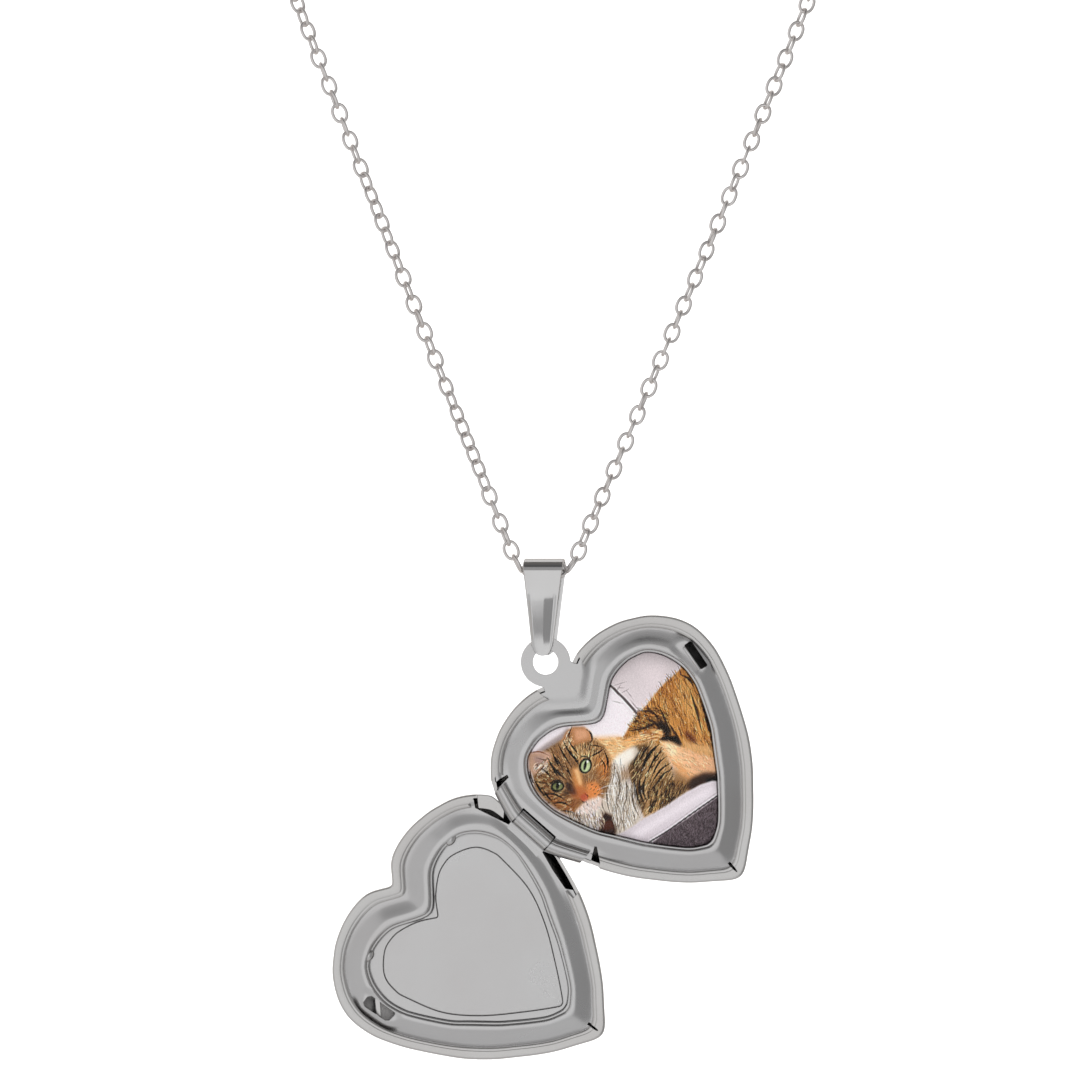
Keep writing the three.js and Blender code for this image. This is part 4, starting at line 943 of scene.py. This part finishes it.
# ------------------------------------------------------------------ printed photo and windows
def print_mesh(h, t, z, name, spacing=0.075):
    """Flat heart sheet with a dense even grid inside its outline."""
    ring = h.ring(t, z)[:, :2]
    lo, hi = ring.min(0), ring.max(0)
    nx, ny = int((hi[0] - lo[0]) / spacing) + 1, int((hi[1] - lo[1]) / spacing) + 1
    xs = np.linspace(lo[0], hi[0], nx + 1); ys = np.linspace(lo[1], hi[1], ny + 1)
    X, Y = np.meshgrid(xs, ys, indexing="ij")
    P = np.column_stack([X.ravel(), Y.ravel()])
    inside = np.zeros(len(P), bool)
    a = ring; b = np.roll(ring, -1, 0)
    for (x0, y0), (x1, y1) in zip(a, b):
        c = ((y0 > P[:, 1]) != (y1 > P[:, 1])) & (P[:, 0] < (x1 - x0) * (P[:, 1] - y0) / (y1 - y0 + 1e-12) + x0)
        inside ^= c
    ins = inside.reshape(nx + 1, ny + 1)
    idx = -np.ones((nx + 1, ny + 1), int)
    v, f = [], []
    cell = ins[:-1, :-1] & ins[1:, :-1] & ins[1:, 1:] & ins[:-1, 1:]
    for i, j in zip(*np.nonzero(cell)):
        q = []
        for di, dj in ((0, 0), (1, 0), (1, 1), (0, 1)):
            if idx[i + di, j + dj] < 0:
                idx[i + di, j + dj] = len(v); v.append((xs[i + di], ys[j + dj], z))
            q.append(idx[i + di, j + dj])
        f.append(tuple(q))
    return v, f


ring = HB.ring(1.0, 0)[:, :2]
pv, pf = print_mesh(HB, 1.0, -1.08, "print", 0.062)
pv = np.array(pv)
# the stepped border of the grid is drawn out onto the true outline
ecount = {}
for q in pf:
    for i in range(4):
        e = tuple(sorted((q[i], q[(i + 1) % 4]))); ecount[e] = ecount.get(e, 0) + 1
rim = sorted({i for e, n in ecount.items() if n == 1 for i in e})
seg_a, seg_b = ring, np.roll(ring, -1, 0)
for i in rim:
    d = seg_b - seg_a; t = np.clip(((pv[i, :2] - seg_a) * d).sum(1) / (d * d).sum(1), 0, 1)
    near = seg_a + t[:, None] * d; k = np.argmin(((near - pv[i, :2]) ** 2).sum(1))
    pv[i, :2] = near[k]
R = np.array(MB.to_3x3()); T = np.array(MB.translation)
n0 = len(pv)
nxt = {}
for q in pf:
    for i in range(4):
        u_, v_ = q[i], q[(i + 1) % 4]
        if ecount[tuple(sorted((u_, v_)))] == 1: nxt[u_] = v_
start = rim[0]; loop = [start]
while nxt[loop[-1]] != start: loop.append(nxt[loop[-1]])
back = np.array([[*pv[i, :2], -1.20] for i in loop])
allv = np.vstack([pv, back]); L_ = len(loop)
faces = list(pf) + [(loop[(i + 1) % L_], loop[i], n0 + i, n0 + (i + 1) % L_) for i in range(L_)] + [tuple(n0 + i for i in range(L_ - 1, -1, -1))]
world_pts = allv @ R.T + T
me = bpy.data.meshes.new("photo_print")
me.from_pydata([tuple(p * MM) for p in world_pts], [], faces)
me.validate()
ca = me.color_attributes.new("print_colour", "FLOAT_COLOR", "POINT")
ca.data.foreach_set("color", np.column_stack([picture(world_pts), np.ones(len(world_pts))]).astype(np.float32).ravel())
photo = bpy.data.objects.new("photo_print", me)
bpy.context.scene.collection.objects.link(photo)
M_PHOTO, ntp, bsp = new_mat("photo_paper")
bsp.inputs["Roughness"].default_value = 0.55
bsp.inputs["Specular IOR Level"].default_value = 0.25
at = ntp.nodes.new("ShaderNodeVertexColor"); at.layer_name = "print_colour"
ntp.links.new(at.outputs[0], bsp.inputs["Base Color"])
me.materials.append(M_PHOTO)
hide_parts("back_photo_print"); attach(photo, "back_half")


def clear(name, tint, gloss):
    """Thin clear plastic: seen straight through, with a Fresnel reflection on top. A grey tint turns it into painted
    shade.
    """
    m = bpy.data.materials.new(name); m.use_nodes = True; nt = m.node_tree; nt.nodes.clear()
    N, L = nt.nodes.new, nt.links.new
    out = N("ShaderNodeOutputMaterial"); mix = N("ShaderNodeMixShader"); tr = N("ShaderNodeBsdfTransparent"); gl = N("ShaderNodeBsdfGlossy")
    fr = N("ShaderNodeFresnel"); fr.inputs[0].default_value = 1.14
    tr.inputs[0].default_value = (*tint, 1); gl.inputs["Roughness"].default_value = gloss
    gl.inputs[0].default_value = (1, 1, 1, 1)
    L(fr.outputs[0], mix.inputs[0]); L(tr.outputs[0], mix.inputs[1]); L(gl.outputs[0], mix.inputs[2]); L(mix.outputs[0], out.inputs[0])
    return m


def plate(name, ring, z0, z1, mat, M, edge=0.05):
    ring = np.asarray(ring)
    c = ring.mean(0)
    T = np.roll(ring, -1, 0) - np.roll(ring, 1, 0); T /= np.linalg.norm(T, axis=1)[:, None]
    Nn = np.column_stack([T[:, 1], -T[:, 0]])
    if ((ring - c) * Nn).sum() < 0: Nn = -Nn
    rings = []
    for d, z in ((edge * 3 + 0.10, z1), (edge * 3 + 0.04, z1), (edge * 1.6, z1), (edge * 0.3, z1 - edge * 0.3), (0, z1 - edge), (0, z0 + edge), (edge * 0.3, z0 + edge * 0.3), (edge, z0)):
        p = ring - Nn * d
        rings.append(np.column_stack([p, np.full(len(p), z)]))
    v, f = stack(rings, (0, 13, z1), (0, 13, z0))
    ob = make_obj(name, v, f, mat, M, angle=20)
    # painted shade: the rim and bevel faces take the grey-tinted edge material, which draws a dark outline round the
    # window
    ob.data.materials.append(M_EDGE_SHADE)
    for p in ob.data.polygons:
        if abs(p.normal.y) < 0.999: p.material_index = 1
    return ob


M_WIN = clear("clear_window", (0.998, 0.998, 0.998), 0.04)
# painted shade: the edge material's grey tint darkens the window's rim, standing in for the dark line that refraction
# draws along a clear edge
M_EDGE_SHADE = clear("window_edge_shade", (0.42, 0.41, 0.41), 0.15)
win_b = plate("back_window", HB.ring(1.0, 0)[:, :2], -1.03, -0.92, M_WIN, MB, 0.03)
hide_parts("back_photo_window"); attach(win_b, "back_half")
win_f = plate("lid_window", smooth_closed(table_ring(INSERT, 160), 1) + HL.shift, -1.19, -0.99, M_WIN, ML, 0.06)
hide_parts("front_photo_window"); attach(win_f, "front_half")

for ob in (tray_b, tray_f, cover_b, cover_f, bail): weigh(ob)
for ob, node, body in ((cover_b, "back_cover", "back_half"), (tray_b, "back_frame", "back_half"), (pin, "hinge_pin", "back_half"),
                       (cover_f, "front_cover", "front_half"), (tray_f, "front_frame", "front_half")):
    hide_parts(node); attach(ob, body)

# ------------------------------------------------------------------ clasp and rings
def closed_curve(P, per=6):
    P = [np.array(p, float) for p in P]; n = len(P); out = []
    for i in range(n):
        a_, b_, c_, d_ = P[i - 1], P[i], P[(i + 1) % n], P[(i + 2) % n]
        for k in range(per):
            f = k / per
            out.append(tuple(0.5 * (2 * b_ + (c_ - a_) * f + (2 * a_ - 5 * b_ + 4 * c_ - d_) * f * f + (3 * b_ - a_ - 3 * c_ + d_) * f ** 3)))
    return out


dL = np.array([-0.35717, 0, 0.93404]); eL = np.array(LEFT[-1]); oC = eL + 3.29 * dL
MC = Matrix(((0.93404, -0.35717, 0, oC[0]), (0, 0, -1, oC[1]), (0.35717, 0.93404, 0, oC[2]), (0, 0, 0, 1)))
body_out = closed_curve([(0.55, 0.75), (1.1, 1.3), (1.95, 2.2), (2.3, 3.4), (2.3, 4.6), (2.25, 5.8), (2.05, 7.0), (1.55, 8.2), (0.6, 9.15), (-0.5, 9.25),
    (-1.45, 8.6), (-2.0, 7.4), (-2.2, 6.0), (-2.2, 4.6), (-2.0, 3.2), (-1.5, 2.0), (-0.9, 1.3), (-0.55, 0.75)])
void_in = closed_curve([(1.15, 3.9), (1.2, 6.2), (1.0, 7.3), (0.35, 8.15), (-0.35, 8.2), (-0.95, 7.6), (-1.2, 6.4), (-1.2, 5.0), (-0.9, 4.1), (-0.2, 3.7)])
cb = make_obj("clasp_hook", *prism(body_out, -0.75, 0.75), M_CLASP, MC)
cut_mesh(cb, MC, prism(void_in, -2, 2))
bevel(cb, 0.38, 5, 50)
eye = make_obj("eye", *prism(circle(0, 0, 1.0, 64), -0.45, 0.45), M_CLASP, MC)
boolean(cb, eye, "UNION")
cut_mesh(cb, MC, prism(circle(0, 0, 0.55, 48), -2, 2))
cut_mesh(cb, MC, prism([(0.9, 3.9), (3, 3.9), (3, 6.75), (0.9, 6.75)], -2, 2))
cut_mesh(cb, MC, prism([(-0.15, 1.75), (3.2, 1.75), (3.2, 4.4), (-0.15, 4.4)], -0.42, 0.42))
cut_mesh(cb, MC, prism(circle(1.2, 2.75, 0.30, 40), -2, 2))
weigh(cb)
cl = make_obj("clasp_trigger", *prism([(0.72, 2.35), (0.95, 2.24), (1.25, 2.2), (1.85, 2.42), (2.5, 2.56), (3.0, 2.68), (3.10, 2.85), (3.1, 3.1), (2.6, 3.30), (2.36, 3.55), (2.30, 4.0), (2.24, 6.0), (2.22, 6.55),
    (1.42, 6.55), (1.38, 4.2), (1.34, 3.6), (1.05, 3.38), (0.75, 3.2)], -0.31, 0.31), M_CLASP, MC)
cut_mesh(cl, MC, prism(circle(1.2, 2.75, 0.33, 40), -2, 2))
bevel(cl, 0.08, 3, 40); weigh(cl)
cp = make_obj("clasp_rivet", *prism(circle(1.2, 2.75, 0.25, 40), -0.73, 0.73), M_CLASP, MC); bevel(cp, 0.06, 3, 40)
cs = make_obj("clasp_leaf", *prism([(0.02, 1.86), (1.5, 1.86), (1.5, 2.0), (0.2, 2.02), (0.2, 3.5), (0.02, 3.5)], -0.26, 0.26), M_PIN, MC); bevel(cs, 0.03, 2, 40)
tor = lambda c, e1, e2: tube_mesh([tuple(c + 1.45 * (math.cos(t) * e1 + math.sin(t) * e2)) for t in np.linspace(0, 2 * math.pi, 96, endpoint=False)], 0.27, 20, closed=True)
jr = make_obj("clasp_link", *tor(eL + 1.84 * dL, dL, np.array([0, 1.0, 0])), M_CHAIN)
dR = np.array(RIGHT[-1]) - np.array(RIGHT[-2]); dR /= np.linalg.norm(dR)
er = make_obj("end_link", *tor(np.array(RIGHT[-1]) + 1.84 * dR, dR, np.cross(dR, [0, 1.0, 0])), M_CHAIN)
for ob, n, body_, slot_ in ((cb, "clasp_body", "chain", "steel_polished"), (cl, "clasp_lever", "clasp_thumb_lever", "steel_polished"), (cp, "clasp_lever_pin", "chain", "steel_polished"),
                            (cs, "clasp_spring", "chain", "steel_satin"), (jr, "clasp_jump_ring", "chain", "chain_steel"), (er, "end_ring", "chain", "chain_steel")):
    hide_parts(n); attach(ob, body_)

# ------------------------------------------------------------------ stage and light
def card(name, loc, size, look, colour=None, strength=0.0, shadow=False):
    bm = bmesh.new(); bmesh.ops.create_grid(bm, x_segments=1, y_segments=1, size=0.5)
    me = bpy.data.meshes.new(name); bm.to_mesh(me); bm.free()
    ob = bpy.data.objects.new(name, me); bpy.context.scene.collection.objects.link(ob)
    ob.scale = (size[0], size[1], 1)
    d = Vector(look) - Vector(loc)
    ob.rotation_euler = d.to_track_quat("Z", "Y").to_euler(); ob.location = loc
    m = bpy.data.materials.new(name); m.use_nodes = True; nt = m.node_tree; nt.nodes.clear()
    o = nt.nodes.new("ShaderNodeOutputMaterial"); e = nt.nodes.new("ShaderNodeEmission")
    e.inputs[0].default_value = (*(colour or (0, 0, 0)), 1); e.inputs[1].default_value = strength
    nt.links.new(e.outputs[0], o.inputs[0]); me.materials.append(m)
    ob.visible_camera = False; ob.visible_shadow = shadow; ob.visible_diffuse = False
    return ob


world = bpy.data.worlds.new("world"); bpy.context.scene.world = world
world.use_nodes = True
wn = world.node_tree; wn.nodes.clear()
wo = wn.nodes.new("ShaderNodeOutputWorld"); wb = wn.nodes.new("ShaderNodeBackground")
wb.inputs[0].default_value = (1, 1, 1, 1); wb.inputs[1].default_value = 1.0
wn.links.new(wb.outputs[0], wo.inputs[0])
C = Vector((0, 0, -0.085))
# what the steel mirrors: a closed room of soft panels, lighter in front, left and below, darker above and to the right
def panel(name, a, b, c, d, colour):
    me = bpy.data.meshes.new(name); me.from_pydata([a, b, c, d], [], [(0, 1, 2, 3)])
    ob = bpy.data.objects.new(name, me); bpy.context.scene.collection.objects.link(ob)
    ob.location = C
    m = bpy.data.materials.new(name); m.use_nodes = True; nt = m.node_tree; nt.nodes.clear()
    o = nt.nodes.new("ShaderNodeOutputMaterial"); e = nt.nodes.new("ShaderNodeEmission")
    e.inputs[0].default_value = (*colour, 1); e.inputs[1].default_value = 1.0
    nt.links.new(e.outputs[0], o.inputs[0]); me.materials.append(m)
    ob.visible_camera = False; ob.visible_shadow = False; ob.visible_diffuse = False


g = lambda v, w=0.0: (v * (1 + w), v, v * (1 - w))
F, E_, K = 0.60, 0.20, 1.5      # distance, half size of the front panel, half size of the room
panel("room_front", (-E_, -F, -E_), (0.13, -F, -E_), (0.13, -F, E_), (-E_, -F, E_), g(0.89))
panel("room_right", (0.13, -F, -E_), (K, -F, -K), (K, -F, K), (0.13, -F, E_), g(0.34))
panel("room_left", (-E_, -F, -E_), (-K, -F, -K), (-K, -F, K), (-E_, -F, E_), g(0.66))
panel("room_top", (-E_, -F, E_), (0.13, -F, E_), (0.55, -F, 0.6), (-0.6, -F, 0.6), g(0.42))
panel("room_top_far", (-0.6, -F, 0.6), (0.55, -F, 0.6), (K, -F, K), (-K, -F, K), g(0.12))
panel("room_low", (-E_, -F, -E_), (0.13, -F, -E_), (K, -F, -K), (-K, -F, -K), g(0.66))
panel("wall_right", (K, -F, -K), (K, K, -K), (K, K, K), (K, -F, K), g(0.42, 0.04))
panel("wall_left", (-K, -F, -K), (-K, K, -K), (-K, K, K), (-K, -F, K), g(0.55, 0.04))
panel("wall_top", (-K, -F, K), (K, -F, K), (K, 0.2, K), (-K, 0.2, K), g(0.16, 0.04))
panel("wall_top_far", (-K, 0.2, K), (K, 0.2, K), (K, K, K), (-K, K, K), g(0.85, 0.02))
panel("wall_low", (-K, -F, -K), (K, -F, -K), (K, K, -K), (-K, K, -K), g(0.55, 0.04))
panel("wall_back", (-K, K, -K), (K, K, -K), (K, K, K), (-K, K, K), g(0.62, 0.05))

floor_bm = bmesh.new()
prof = [(-0.9, -0.20)] + [(0.10 + 0.12 * math.sin(a), -0.20 + 0.12 * (1 - math.cos(a))) for a in np.linspace(0, math.pi / 2, 12)] + [(0.22, 0.45)]
vs = [[floor_bm.verts.new((x, y, z)) for (y, z) in prof] for x in (-0.9, 0.9)]
for i in range(len(prof) - 1):
    floor_bm.faces.new((vs[0][i], vs[1][i], vs[1][i + 1], vs[0][i + 1]))
fme = bpy.data.meshes.new("backdrop"); floor_bm.to_mesh(fme); floor_bm.free()
fme.shade_smooth()
floor = bpy.data.objects.new("backdrop", fme); bpy.context.scene.collection.objects.link(floor)
m, nt, bs = new_mat("backdrop")
bs.inputs["Base Color"].default_value = (1, 1, 1, 1); bs.inputs["Roughness"].default_value = 1.0
bs.inputs["Specular IOR Level"].default_value = 0.0
bs.inputs["Emission Color"].default_value = (1, 1, 1, 1); bs.inputs["Emission Strength"].default_value = 0.35
fme.materials.append(m)
floor.visible_glossy = False

sc = bpy.context.scene
sc.view_settings.view_transform = "Standard"
sc.view_settings.look = "None"
